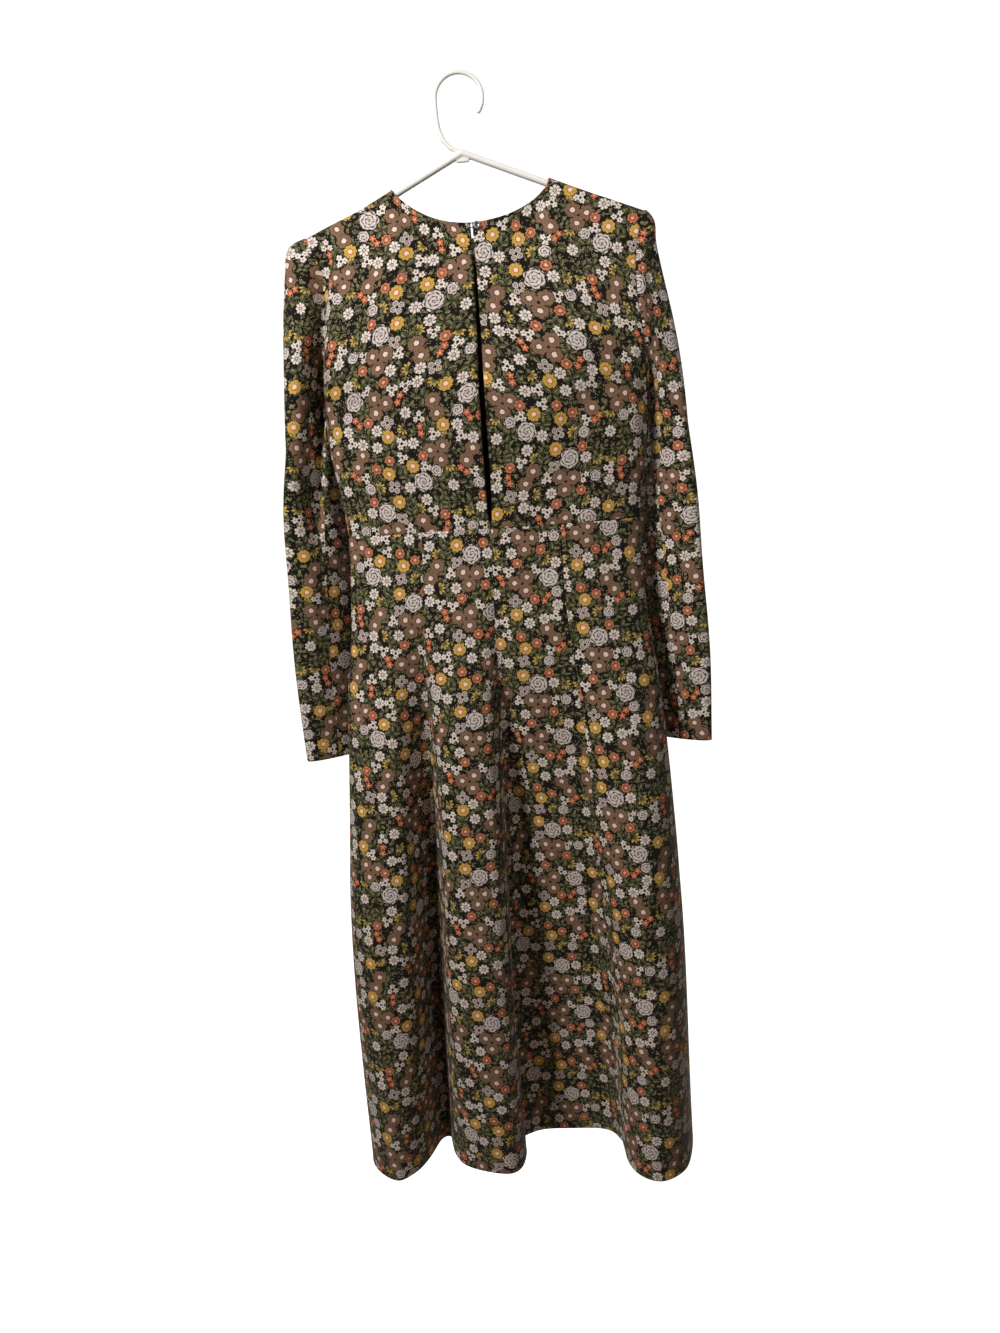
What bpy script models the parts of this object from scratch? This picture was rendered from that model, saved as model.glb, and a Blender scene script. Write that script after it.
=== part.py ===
"""Long-sleeved maxi dress on a tubular hanger, as a named solid for each piece.

The dress hangs from the rail at the origin, +Z up, its back towards -Y. Each cloth
piece is a wall through smooth sections: two bodice backs with an open slit between
them, a bodice front, four flared back gores, a front skirt and two sleeves.
"""

import math
from collections import namedtuple

import bmesh
import bpy
from mathutils import Matrix, Vector

BACK, FRONT = -1, 1
LEFT, RIGHT = -1, 1

# ---------------------------------------------------------------- driving sizes (metres)

CLOTH = 0.0012              # thickness of the cloth's wall
SEAM = 0.0003               # gap between two pieces at a seam

HOOK_INNER = 0.0235         # radius inside the hook, which hangs on the rail at the origin
HOOK_WIRE = 0.0026          # radius of the hook's wire
HOOK_TIP = math.radians(-35.0)
HOOK_NECK = ((-0.0260, -0.040), (-0.0245, -0.053), (-0.0205, -0.064), (-0.0130, -0.073))
TUBE = 0.0040               # radius of the hanger's tube
APEX = 0.079                # from the rail down to where the two arms meet
ARM_SLOPE = math.radians(24.0)
HANGER_ROLL = math.radians(0.95)    # the hanger hangs with its right arm a little high
ARM_REACH = 0.176           # from the middle to the centreline of the arm's end
BAR = 0.186                 # from the rail down to the lower bar
HANGER_BEND = 0.009         # radius of the bends at the arms' ends
LUG = (0.014, 0.0034, 0.010)

NECK_HALF = 0.087
SHOULDER_HALF = 0.190
NAPE = 0.1565               # from the rail down to the lowest point of the back neckline
THROAT = 0.163              # and of the front neckline
NECK_FLATNESS = {LEFT: 1.75, RIGHT: 1.30}        # 1 for an elliptical neckline, more for a wider one
SHOULDER_LIFT = {LEFT: 0.0050, RIGHT: 0.0015}    # how far the sleeves' heads push the shoulders' ends up
LIFT_START = 0.115          # across, where the lift begins
TUBE_SIDE = 0.0054          # from the tube's centre to the cloth beside it
TUBE_TOP = 0.0058           # and to the cloth above it
UNDERARM = 0.60             # share of the bodice's height from shoulder to underarm
WAIST = 0.490               # from the rail down to the waist seam
HEM = 1.316
GORE_PLACE = 0.125          # place round the dress of the side-back seams, CB 0, side 0.25
GORE_ANGLE = 28.0           # angle of those seams round the plain section, degrees

CAP_END = 0.385             # from the rail down to where the sleeve's cap becomes its tube
CUFF = 0.768
SLEEVE_GAP = 0.0017         # between the bodice's edge and the sleeve, whose walls meet at an angle
CAP_PUFF = {LEFT: 0.0190, RIGHT: 0.0050}         # how far each sleeve's head stands out

BUTTON_RADIUS = 0.0040
BUTTON_THICK = 0.0016
BUTTON_ASIDE = 0.0060       # from the slit to the button's centre
BUTTON_DROP = 0.0035        # from the neckline to the button's centre
SHANK_RADIUS = 0.0010
SHANK = 0.0018
LOOP_CORD = 0.0005
LOOP_END = 0.0045           # past the slit, where the loop's two ends are sewn down
LOOP_SPREAD = 0.0022        # half the distance between the loop's two strands

ZIP_TOP = 0.494
ZIP_END = 0.712
ZIP_SPREAD = 0.005           # half the coil's width, as a place round the dress

NECK_TURN = 6 / 13          # share of the bodice's width, in columns, that lies along the neckline
NECK_COLUMNS = (0.0, 0.22, 0.44, 0.64, 0.80, 0.91)
SHOULDER_COLUMNS = 7
BODICE_ROWS = (0.0, 0.0051, 0.0174, 0.06, 0.14, 0.25, 0.38, 0.50, 0.60, 0.72, 0.86, 1.0)
GORE_COLUMNS = 11
FRONT_COLUMNS = 38
SLEEVE_COLUMNS = 18
CAP_ROWS = (0.0, 0.10, 0.26, 0.50, 0.76)
TUBE_ROWS = 8

# ---------------------------------------------------------------- tables, a row for each section

BodiceRow = namedtuple("BodiceRow", "share edge gap depth shift slit")
BODICE = [  # share of the height, side edge, half the armhole's width, depth, centre, half slit
    BodiceRow(0.0000, 0.1900, 0.0054, 0.026, 0.0060, 0.0016),
    BodiceRow(0.0174, 0.1880, 0.0054, 0.026, 0.0060, 0.0016),
    BodiceRow(0.0600, 0.1830, 0.0100, 0.028, 0.0065, 0.0017),
    BodiceRow(0.1400, 0.1775, 0.0170, 0.032, 0.0070, 0.0020),
    BodiceRow(0.2500, 0.1765, 0.0250, 0.038, 0.0070, 0.0023),
    BodiceRow(0.3800, 0.1815, 0.0285, 0.045, 0.0068, 0.0028),
    BodiceRow(0.5000, 0.1880, 0.0210, 0.050, 0.0060, 0.0034),
    BodiceRow(0.6000, 0.1905, 0.0000, 0.050, 0.0055, 0.0036),
    BodiceRow(0.7200, 0.1860, 0.0000, 0.046, 0.0050, 0.0038),
    BodiceRow(0.8600, 0.1780, 0.0000, 0.040, 0.0045, 0.0036),
    BodiceRow(0.9500, 0.1745, 0.0000, 0.037, 0.0040, 0.0026),
    BodiceRow(1.0000, 0.1735, 0.0000, 0.036, 0.0040, 0.0003),
]

SkirtRow = namedtuple("SkirtRow", "drop half depth shift flutes")
SKIRT = [  # height below the rail, half width, half depth, centre, share of the hem's flutes
    SkirtRow(0.490, 0.1735, 0.036, 0.0040, 0.00),
    SkirtRow(0.530, 0.1745, 0.038, 0.0030, 0.00),
    SkirtRow(0.582, 0.1780, 0.042, 0.0015, 0.02),
    SkirtRow(0.636, 0.1840, 0.046, 0.0015, 0.05),
    SkirtRow(0.700, 0.1925, 0.050, 0.0008, 0.11),
    SkirtRow(0.770, 0.1988, 0.052, 0.0004, 0.20),
    SkirtRow(0.860, 0.2055, 0.054, 0.0000, 0.33),
    SkirtRow(0.960, 0.2115, 0.056, -0.0020, 0.48),
    SkirtRow(1.070, 0.2150, 0.058, -0.0040, 0.64),
    SkirtRow(1.190, 0.2165, 0.059, -0.0040, 0.82),
    SkirtRow(1.316, 0.2165, 0.060, -0.0040, 1.00),
]

Fold = namedtuple("Fold", "place across deep")
FOLDS = [  # the hem: place round the dress, across from the centre, deep from the middle plane
    Fold(0.000, -0.011, -0.007),   # centre back, tucked under the second flute
    Fold(0.020, 0.010, 0.011),     # wide valley right of the centre back
    Fold(0.060, 0.056, 0.013),
    Fold(0.100, 0.104, 0.008),
    Fold(0.125, 0.122, -0.016),    # right side-back seam
    Fold(0.143, 0.128, -0.056),
    Fold(0.165, 0.143, -0.082),
    Fold(0.190, 0.169, -0.092),    # third flute
    Fold(0.215, 0.198, -0.073),
    Fold(0.235, 0.211, -0.040),
    Fold(0.250, 0.2165, 0.000),    # right side seam
    Fold(0.285, 0.204, 0.045),
    Fold(0.325, 0.168, 0.078),
    Fold(0.360, 0.132, 0.054),
    Fold(0.390, 0.106, 0.038),
    Fold(0.430, 0.076, 0.058),
    Fold(0.465, 0.038, 0.078),
    Fold(0.505, 0.000, 0.060),
    Fold(0.540, -0.028, 0.038),
    Fold(0.580, -0.062, 0.060),
    Fold(0.612, -0.094, 0.078),
    Fold(0.645, -0.126, 0.050),
    Fold(0.672, -0.146, 0.038),
    Fold(0.708, -0.178, 0.066),
    Fold(0.732, -0.205, 0.036),
    Fold(0.750, -0.2165, 0.000),   # left side seam
    Fold(0.768, -0.208, -0.049),
    Fold(0.795, -0.174, -0.080),   # first flute
    Fold(0.822, -0.147, -0.056),
    Fold(0.842, -0.131, -0.012),
    Fold(0.860, -0.110, 0.001),    # narrow valley
    Fold(0.875, -0.097, -0.020),   # left side-back seam
    Fold(0.890, -0.096, -0.050),
    Fold(0.910, -0.074, -0.060),
    Fold(0.940, -0.036, -0.072),   # second flute
    Fold(0.964, -0.012, -0.066),
    Fold(0.982, -0.006, -0.036),
]

SleeveRow = namedtuple("SleeveRow", "drop left right half thick yaw forward")
SLEEVE = [  # height below the rail, each sleeve's outer edge, half width, half thickness, yaw, forward
    SleeveRow(0.385, 0.2315, 0.2370, 0.060, 0.0205, 58.0, 0.032),
    SleeveRow(0.470, 0.2455, 0.2455, 0.058, 0.0195, 49.0, 0.030),
    SleeveRow(0.560, 0.2500, 0.2500, 0.055, 0.0180, 43.0, 0.028),
    SleeveRow(0.660, 0.2535, 0.2545, 0.052, 0.0155, 40.0, 0.028),
    SleeveRow(0.768, 0.2515, 0.2540, 0.049, 0.0130, 38.0, 0.029),
]
RIGHT_FORWARD = 0.0080      # the right sleeve's top hangs this much further forward
RIGHT_TURN = 7.0            # and is turned this many degrees more, clear of the bodice


# ---------------------------------------------------------------- reading the tables

def mix(a, b, share):
    return a + (b - a) * share


def ease(share):
    """A smooth step from 0 to 1, flat before 0 and after 1."""
    share = min(1.0, max(0.0, share))
    return share * share * (3.0 - 2.0 * share)


class Curve:
    """A smooth line through one column of a table, read at any place; it may go round."""

    def __init__(self, places, values, period=None):
        self.places, self.values, self.period = list(places), list(values), period
        if period:
            self.places = [places[-1] - period, *places, places[0] + period, places[1] + period]
            self.values = [values[-1], *values, values[0], values[1]]

    def slope(self, i):
        before, after = max(i - 1, 0), min(i + 1, len(self.places) - 1)
        return (self.values[after] - self.values[before]) / (self.places[after] - self.places[before])

    def __call__(self, place):
        if self.period:
            place %= self.period
        last = len(self.places) - 2
        i = max(j for j in range(last + 1) if j == 0 or self.places[j] <= place)
        width = self.places[i + 1] - self.places[i]
        t = min(1.0, max(0.0, (place - self.places[i]) / width))
        a, b = self.values[i], self.values[i + 1]
        bend_a, bend_b = self.slope(i) * width, self.slope(i + 1) * width
        return (a * (1 + 2 * t) * (1 - t) ** 2 + b * t * t * (3 - 2 * t)
                + bend_a * t * (1 - t) ** 2 - bend_b * t * t * (1 - t))


def curves(table, key):
    """A Curve for each column of a table, over its key column."""
    places = [getattr(row, key) for row in table]
    return {name: Curve(places, [getattr(row, name) for row in table])
            for name in table[0]._fields if name != key}


BODICE_CURVES = curves(BODICE, "share")
SKIRT_CURVES = curves(SKIRT, "drop")
SLEEVE_CURVES = curves(SLEEVE, "drop")
ACROSS = Curve([f.place for f in FOLDS], [f.across for f in FOLDS], period=1.0)
DEEP = Curve([f.place for f in FOLDS], [f.deep for f in FOLDS], period=1.0)


# ---------------------------------------------------------------- the dress's surfaces

def shoulder_height(side, x):
    """Height of the shoulder seam, which lies over the hanger's arm."""
    slope = ARM_SLOPE - side * HANGER_ROLL
    lift = SHOULDER_LIFT[side] * ease((x - LIFT_START) / (SHOULDER_HALF - LIFT_START))
    return -APEX - (x + side * BODICE[0].shift) * math.tan(slope) + TUBE_TOP + lift


def top_line(face, side, turn):
    """Across and height of the neckline and shoulder, with the angle round the neckline."""
    if turn < NECK_TURN:
        angle = math.pi / 2 * (1 - (1 - turn / NECK_TURN) ** 1.6)
        lowest = -NAPE if face == BACK else -THROAT
        z = mix(shoulder_height(side, NECK_HALF), lowest, math.cos(angle) ** NECK_FLATNESS[side])
        return NECK_HALF * math.sin(angle), z, angle
    run = math.sin(math.pi / 2 * (turn - NECK_TURN) / (1 - NECK_TURN))
    x = mix(NECK_HALF, SHOULDER_HALF, run)
    return x, shoulder_height(side, x), math.pi / 2


def bodice_point(face, side, turn, share):
    """Bodice surface: turn 0 at the centre, 1 at the side; share 0 at the top, 1 at the waist."""
    x_top, z_top, angle = top_line(face, side, turn)
    drop = share * (z_top + WAIST)
    read = {name: curve(share) for name, curve in BODICE_CURVES.items()}
    across = mix(x_top / SHOULDER_HALF, math.sin(math.pi / 2 * turn), ease(share / 0.8))
    slit = read["slit"] if face == BACK else 0.0
    x = slit + (read["edge"] - slit) * across

    over_tube = TUBE_SIDE
    if drop < TUBE_TOP:
        over_tube *= math.sqrt(max(0.0, 1 - (1 - drop / TUBE_TOP) ** 2))
    edge = mix(over_tube, TUBE_SIDE, ease((NECK_TURN - turn) / (NECK_TURN * 0.12)))
    if drop >= TUBE_TOP:
        edge = max(0.0, read["gap"])
    fullness = mix(math.cos(angle) ** 2, math.sqrt(max(0.0, 1 - across * across)), ease(share / 0.25))
    y = edge + (read["depth"] - edge) * fullness
    return Vector((side * x + read["shift"], face * y, z_top - drop))


def plain_angle(place):
    """Angle round the plain section of a place round the dress, measured from centre back."""
    quarter = place % 0.5
    if quarter > 0.25:
        return math.pi * (1 if place % 1.0 < 0.5 else 2) - plain_angle(0.5 - quarter)
    if quarter <= GORE_PLACE:
        angle = GORE_ANGLE * quarter / GORE_PLACE
    else:
        angle = mix(GORE_ANGLE, 90.0, (quarter - GORE_PLACE) / (0.25 - GORE_PLACE))
    return math.radians(angle) + (math.pi if place % 1.0 >= 0.5 else 0.0)


def skirt_point(place, drop):
    """Skirt surface: place 0 at centre back, 0.25 right side, 0.5 front, 0.75 left side."""
    read = {name: curve(drop) for name, curve in SKIRT_CURVES.items()}
    angle = plain_angle(place)
    plain = Vector((read["half"] * math.sin(angle), -read["depth"] * math.cos(angle)))
    fluted = Vector((ACROSS(place) * read["half"] / SKIRT[-1].half, DEEP(place)))
    x, y = plain.lerp(fluted, max(0.0, read["flutes"]))
    return Vector((x + read["shift"], y, -drop))


def sleeve_tube_point(side, turn, drop):
    """Ring of the hanging sleeve: turn 0 at its outer edge, then back, inside and front."""
    read = {name: curve(drop) for name, curve in SLEEVE_CURVES.items()}
    reach, forward, yaw = read["left"], read["forward"], read["yaw"]
    if side == RIGHT:
        above_cuff = (CUFF - drop) / (CUFF - CAP_END)
        reach = read["right"]
        forward += RIGHT_FORWARD * above_cuff
        yaw += RIGHT_TURN * above_cuff
    yaw = math.radians(yaw)
    width = math.hypot(read["half"] * math.cos(yaw), read["thick"] * math.sin(yaw))
    angle = math.radians(360 * turn - 72 + 32 * math.cos(2 * math.pi * turn))
    along = read["half"] * math.cos(angle)
    off = read["thick"] * math.sin(angle)
    x = reach - width + along * math.cos(yaw) - off * math.sin(yaw)
    y = forward - along * math.sin(yaw) - off * math.cos(yaw)
    return Vector((side * x, y, -drop))


def sleeve_point(side, turn, down):
    """Sleeve surface: down -1 at the armhole, 0 where the cap ends, 1 at the cuff."""
    if down >= 0:
        return sleeve_tube_point(side, turn, mix(CAP_END, CUFF, down))
    face = BACK if turn % 1.0 <= 0.5 else FRONT
    armhole = bodice_point(face, side, 1.0, UNDERARM * (1 - math.cos(2 * math.pi * turn)) / 2)
    armhole.x += side * SLEEVE_GAP
    armhole.y -= SLEEVE_GAP * math.sin(2 * math.pi * turn) / 2
    ring = sleeve_tube_point(side, turn, CAP_END)
    hang = (sleeve_tube_point(side, turn, CUFF) - ring).normalized()
    reach = ring - armhole
    fall = down + 1
    swing = (reach - hang * reach.length) * (1 - math.sin(math.pi * turn) ** 4)
    point = armhole + reach * fall + swing * fall * fall * (1 - fall)
    round_over = math.sin(math.pi * fall ** 0.36) * (1 - fall * fall) * (1 + math.cos(2 * math.pi * turn)) / 2
    point.x += side * CAP_PUFF[side] * round_over
    return point


# ---------------------------------------------------------------- making solids

def material(name, colour, roughness, metallic=0.0):
    made = bpy.data.materials.new(name)
    made.use_nodes = True
    shader = made.node_tree.nodes["Principled BSDF"]
    shader.inputs["Base Color"].default_value = (*colour, 1.0)
    shader.inputs["Roughness"].default_value = roughness
    shader.inputs["Metallic"].default_value = metallic
    return made


def place_object(name, mesh, finish):
    thing = bpy.data.objects.new(name, mesh)
    thing.data.materials.append(finish)
    bpy.data.collections["maxi_dress"].objects.link(thing)
    return thing


def normal_at(surface, u, v, u_range, v_range):
    """Unit normal of a surface, from points a hair away on each side inside its ranges."""
    hair = 1e-4
    u0, u1 = max(u_range[0], u - hair), min(u_range[1], u + hair)
    v0, v1 = max(v_range[0], v - hair), min(v_range[1], v + hair)
    across = surface(u1, v) - surface(u0, v)
    down = surface(u, v1) - surface(u, v0)
    return across.cross(down).normalized()


def cloth_wall(name, surface, us, vs, finish, ring=False):
    """Wall of cloth, half its thickness on each side of a surface(u, v), drawn in at its seams."""
    u_range = (-1e9, 1e9) if ring else (us[0], us[-1])
    points = [[surface(u, v) for u in us] for v in vs]
    normals = [[normal_at(surface, u, v, u_range, (vs[0], vs[-1])) for u in us] for v in vs]

    def draw_in(edge, inner):
        for k, point in enumerate(edge):
            edge[k] = point + (inner[k] - point).normalized() * SEAM / 2

    draw_in(points[0], points[1])
    draw_in(points[-1], points[-2])
    if not ring:
        for row in points:
            first, last = (row[1] - row[0]).normalized(), (row[-2] - row[-1]).normalized()
            row[0] = row[0] + first * SEAM / 2
            row[-1] = row[-1] + last * SEAM / 2

    bm = bmesh.new()
    skins = []
    for offset in (CLOTH / 2, -CLOTH / 2):
        skins.append([[bm.verts.new(p + n * offset) for p, n in zip(*pair)]
                      for pair in zip(points, normals)])
    outer, inner = skins
    columns, rows = len(us), len(vs)
    spans = columns if ring else columns - 1
    for i in range(rows - 1):
        for j in range(spans):
            k = (j + 1) % columns
            bm.faces.new((outer[i][j], outer[i][k], outer[i + 1][k], outer[i + 1][j]))
            bm.faces.new((inner[i][j], inner[i + 1][j], inner[i + 1][k], inner[i][k]))
    for j in range(spans):
        k = (j + 1) % columns
        bm.faces.new((outer[0][j], inner[0][j], inner[0][k], outer[0][k]))
        bm.faces.new((outer[-1][j], outer[-1][k], inner[-1][k], inner[-1][j]))
    if not ring:
        for i in range(rows - 1):
            bm.faces.new((outer[i][0], outer[i + 1][0], inner[i + 1][0], inner[i][0]))
            bm.faces.new((outer[i][-1], inner[i][-1], inner[i + 1][-1], outer[i + 1][-1]))
    bmesh.ops.recalc_face_normals(bm, faces=bm.faces)
    mesh = bpy.data.meshes.new(name)
    bm.to_mesh(mesh)
    bm.free()
    mesh.shade_smooth()
    return place_object(name, mesh, finish)


def steps(start, end, count):
    return [mix(start, end, i / count) for i in range(count + 1)]


def tube_curve(name, points, radius, finish, closed=False, sides=2):
    """Round tube along a polyline, its ends capped."""
    curve = bpy.data.curves.new(name, "CURVE")
    curve.dimensions = "3D"
    curve.bevel_depth = radius
    curve.bevel_resolution = sides
    curve.use_fill_caps = True
    spline = curve.splines.new("POLY")
    spline.points.add(len(points) - 1)
    for spot, point in zip(spline.points, points):
        spot.co = (*point, 1.0)
    spline.use_cyclic_u = closed
    return place_object(name, curve, finish)


def curve_to_mesh(thing):
    """The same tube as a mesh with its caps welded, ready to be joined to others."""
    mesh = bpy.data.meshes.new_from_object(thing.evaluated_get(bpy.context.evaluated_depsgraph_get()))
    bm = bmesh.new()
    bm.from_mesh(mesh)
    bmesh.ops.remove_doubles(bm, verts=bm.verts, dist=1e-6)
    bm.to_mesh(mesh)
    bm.free()
    name, finish, matrix = thing.name, thing.data.materials[0], thing.matrix_world.copy()
    bpy.data.objects.remove(thing)
    made = place_object(name, mesh, finish)
    made.matrix_world = matrix
    return made


# ---------------------------------------------------------------- the pieces

def bend(centre, radius, start, end, count):
    """Points along an arc in the hanger's plane, angles in degrees from +X."""
    return [Vector((centre[0] + radius * math.cos(math.radians(a)), 0.0,
                    centre[1] + radius * math.sin(math.radians(a))))
            for a in steps(start, end, count)]


def build_hanger(finish):
    """Triangular tube with its hook, joined into one moulded piece."""
    end_x = ARM_REACH - HANGER_BEND
    touch_x = end_x + HANGER_BEND * math.sin(ARM_SLOPE)
    bend_z = -APEX - touch_x * math.tan(ARM_SLOPE) - HANGER_BEND * math.cos(ARM_SLOPE)
    right = [Vector((0.0, 0.0, -APEX))]
    right += bend((end_x, bend_z), HANGER_BEND, 90 - math.degrees(ARM_SLOPE), 0, 3)
    right += bend((end_x, -BAR + HANGER_BEND), HANGER_BEND, -20, -90, 3)
    left = [Vector((-p.x, 0.0, p.z)) for p in reversed(right[1:])]
    apex = Vector((0.0, 0.0, -APEX))
    roll = Matrix.Rotation(-HANGER_ROLL, 3, "Y")
    outline = [apex + roll @ (point - apex) for point in right + left]
    frame = tube_curve("hanger", outline, TUBE, finish, closed=True)

    hook_radius = HOOK_INNER + HOOK_WIRE
    hook = bend((0.0, -HOOK_INNER), hook_radius, math.degrees(HOOK_TIP), 180, 12)
    hook += [Vector((x, 0.0, z)) for x, z in HOOK_NECK]
    hook.append(Vector((0.002, 0.0, -APEX - 0.0005)))
    wire = tube_curve("hook_wire", hook, HOOK_WIRE, finish)

    bpy.ops.mesh.primitive_cube_add(size=1, location=(0, 0, -APEX - LUG[2] / 2))
    lug = bpy.context.object
    lug.scale = LUG

    body = curve_to_mesh(frame)
    joined = [curve_to_mesh(wire), lug]
    for piece in joined:
        for owner in piece.users_collection:
            owner.objects.unlink(piece)
        bpy.data.collections["cutters"].objects.link(piece)
        piece.hide_render = True
        piece.display_type = "WIRE"
        union = body.modifiers.new("join " + piece.name, "BOOLEAN")
        union.operation = "UNION"
        union.object = piece


def build_bodice(finish):
    turns = [NECK_TURN * share for share in NECK_COLUMNS] + steps(NECK_TURN, 1.0, SHOULDER_COLUMNS)
    for name, side in (("bodice_back_left", LEFT), ("bodice_back_right", RIGHT)):
        cloth_wall(name, lambda turn, share, side=side: bodice_point(BACK, side, turn, share),
                   turns, BODICE_ROWS, finish)

    def front(turn, share):
        return bodice_point(FRONT, LEFT if turn < 0 else RIGHT, abs(turn), share)

    cloth_wall("bodice_front", front, [-t for t in reversed(turns[1:])] + turns, BODICE_ROWS, finish)


def build_skirt(finish):
    gores = (
        ("skirt_back_centre_right", 0.0, GORE_PLACE),
        ("skirt_back_side_right", GORE_PLACE, 0.25),
        ("skirt_back_side_left", 0.75, 1.0 - GORE_PLACE),
        ("skirt_back_centre_left", 1.0 - GORE_PLACE, 1.0 - 1e-9),
    )
    drops = [row.drop for row in SKIRT]
    for name, start, end in gores:
        cloth_wall(name, skirt_point, steps(start, end, GORE_COLUMNS), drops, finish)
    cloth_wall("skirt_front", skirt_point, steps(0.25, 0.75, FRONT_COLUMNS), drops, finish)


def build_sleeves(finish):
    turns = steps(0.0, 1.0, SLEEVE_COLUMNS)[:-1]
    falls = [share - 1 for share in CAP_ROWS] + steps(0.0, 1.0, TUBE_ROWS)
    for name, side in (("sleeve_left", LEFT), ("sleeve_right", RIGHT)):
        cloth_wall(name, lambda turn, down, side=side: sleeve_point(side, turn, down),
                   turns, falls, finish, ring=True)


def build_button(button_finish, loop_finish):
    """Round button with a raised rim on a short shank, and the cord loop round the shank."""
    x_slit = BODICE[0].shift
    spot = bodice_point(BACK, RIGHT, 0.0, 0.0)
    face = -BODICE[0].depth - CLOTH / 2 - SEAM
    centre = Vector((x_slit + BUTTON_ASIDE, face, spot.z - BUTTON_DROP))

    profile = [(0.0, -SHANK - BUTTON_THICK * 0.6), (BUTTON_RADIUS * 0.55, -SHANK - BUTTON_THICK * 0.6),
               (BUTTON_RADIUS * 0.72, -SHANK - BUTTON_THICK), (BUTTON_RADIUS * 0.90, -SHANK - BUTTON_THICK),
               (BUTTON_RADIUS, -SHANK - BUTTON_THICK * 0.6), (BUTTON_RADIUS, -SHANK - BUTTON_THICK * 0.2),
               (BUTTON_RADIUS * 0.85, -SHANK), (SHANK_RADIUS, -SHANK), (SHANK_RADIUS, 0.0), (0.0, 0.0)]
    bm = bmesh.new()
    verts = [bm.verts.new((r, y, 0.0)) for r, y in profile]
    edges = [bm.edges.new(pair) for pair in zip(verts, verts[1:])]
    bmesh.ops.spin(bm, geom=verts + edges, axis=(0, 1, 0), cent=(0, 0, 0), angle=2 * math.pi,
                   steps=12, use_merge=True)
    bmesh.ops.remove_doubles(bm, verts=bm.verts, dist=1e-7)
    bmesh.ops.recalc_face_normals(bm, faces=bm.faces)
    mesh = bpy.data.meshes.new("nape_button")
    bm.to_mesh(mesh)
    bm.free()
    mesh.shade_smooth()
    mesh.set_sharp_from_angle(angle=math.radians(35))
    button = place_object("nape_button", mesh, button_finish)
    button.location = centre

    reach = SHANK_RADIUS + LOOP_CORD + SEAM
    y = face - LOOP_CORD
    x_end = x_slit - LOOP_END
    x_mid = mix(x_end, centre.x, 0.5)
    route = [centre + Vector((reach * math.sin(a), y - centre.y, reach * math.cos(a)))
             for a in steps(0.0, math.pi, 8)]
    for x in (x_mid, x_end):
        route = [Vector((x, y, centre.z + LOOP_SPREAD))] + route + [Vector((x, y, centre.z - LOOP_SPREAD))]
    tube_curve("button_loop", route, LOOP_CORD, loop_finish)


def build_zip(finish):
    """Coil of the closed zip, inside the skirt along its centre back seam."""
    def strip(place, drop):
        inward = normal_at(skirt_point, place, drop, (-1.0, 1.0), (WAIST, HEM))
        return skirt_point(place, drop) + inward * (CLOTH + 2 * SEAM)

    drops = [ZIP_TOP] + [row.drop for row in SKIRT if ZIP_TOP < row.drop < ZIP_END] + [ZIP_END]
    cloth_wall("back_zip", strip, [-ZIP_SPREAD, 0.0, ZIP_SPREAD], drops, finish)


def main():
    for thing in list(bpy.data.objects):
        bpy.data.objects.remove(thing)
    for name in ("maxi_dress", "cutters"):
        collection = bpy.data.collections.new(name)
        bpy.context.scene.collection.children.link(collection)

    floral = material("floral_crepe", (0.055, 0.048, 0.036), 0.85)
    plastic = material("white_plastic", (0.80, 0.80, 0.78), 0.38)
    button_blue = material("button_blue_grey", (0.10, 0.14, 0.17), 0.22)
    cord = material("black_cord", (0.012, 0.012, 0.012), 0.80)
    coil = material("black_coil", (0.015, 0.015, 0.015), 0.50)

    build_hanger(plastic)
    build_bodice(floral)
    build_skirt(floral)
    build_sleeves(floral)
    build_button(button_blue, cord)
    build_zip(coil)


main()
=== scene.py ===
"""Looks of a long-sleeved maxi dress on its hanger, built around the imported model.

Laid out as an add-on: sizes are properties, each group of pieces has its operator, and a
panel lists them. Cloth pieces are grids drawn through the same sections as the model's
solids, with their creases, seams and turned edges.
"""

import math
from collections import namedtuple

import bmesh
import bpy
import numpy as np
from mathutils import Matrix, Vector


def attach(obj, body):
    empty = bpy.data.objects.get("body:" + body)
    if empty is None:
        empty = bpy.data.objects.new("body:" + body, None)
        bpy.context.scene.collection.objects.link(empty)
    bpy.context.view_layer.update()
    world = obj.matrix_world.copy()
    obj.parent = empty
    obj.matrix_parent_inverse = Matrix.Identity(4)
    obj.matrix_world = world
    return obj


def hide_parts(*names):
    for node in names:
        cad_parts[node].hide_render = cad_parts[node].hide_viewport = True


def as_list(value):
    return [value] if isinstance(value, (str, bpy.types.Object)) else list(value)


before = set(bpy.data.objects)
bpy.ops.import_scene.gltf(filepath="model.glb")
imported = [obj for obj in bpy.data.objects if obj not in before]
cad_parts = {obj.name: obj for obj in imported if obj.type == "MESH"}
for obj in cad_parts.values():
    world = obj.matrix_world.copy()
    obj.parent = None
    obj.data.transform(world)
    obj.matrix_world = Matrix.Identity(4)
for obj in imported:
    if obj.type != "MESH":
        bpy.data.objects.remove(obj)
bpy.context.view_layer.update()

bl_info = {
    "name": "Maxi dress on a hanger",
    "version": (1, 0, 0),
    "blender": (4, 5, 0),
    "location": "View3D > Sidebar > Maxi dress",
    "description": "Builds a long-sleeved floral maxi dress that hangs on a tubular hanger",
    "category": "Object",
}

BACK, FRONT = -1, 1
LEFT, RIGHT = -1, 1

# --- sizes of the hanger, in metres and degrees

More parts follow.
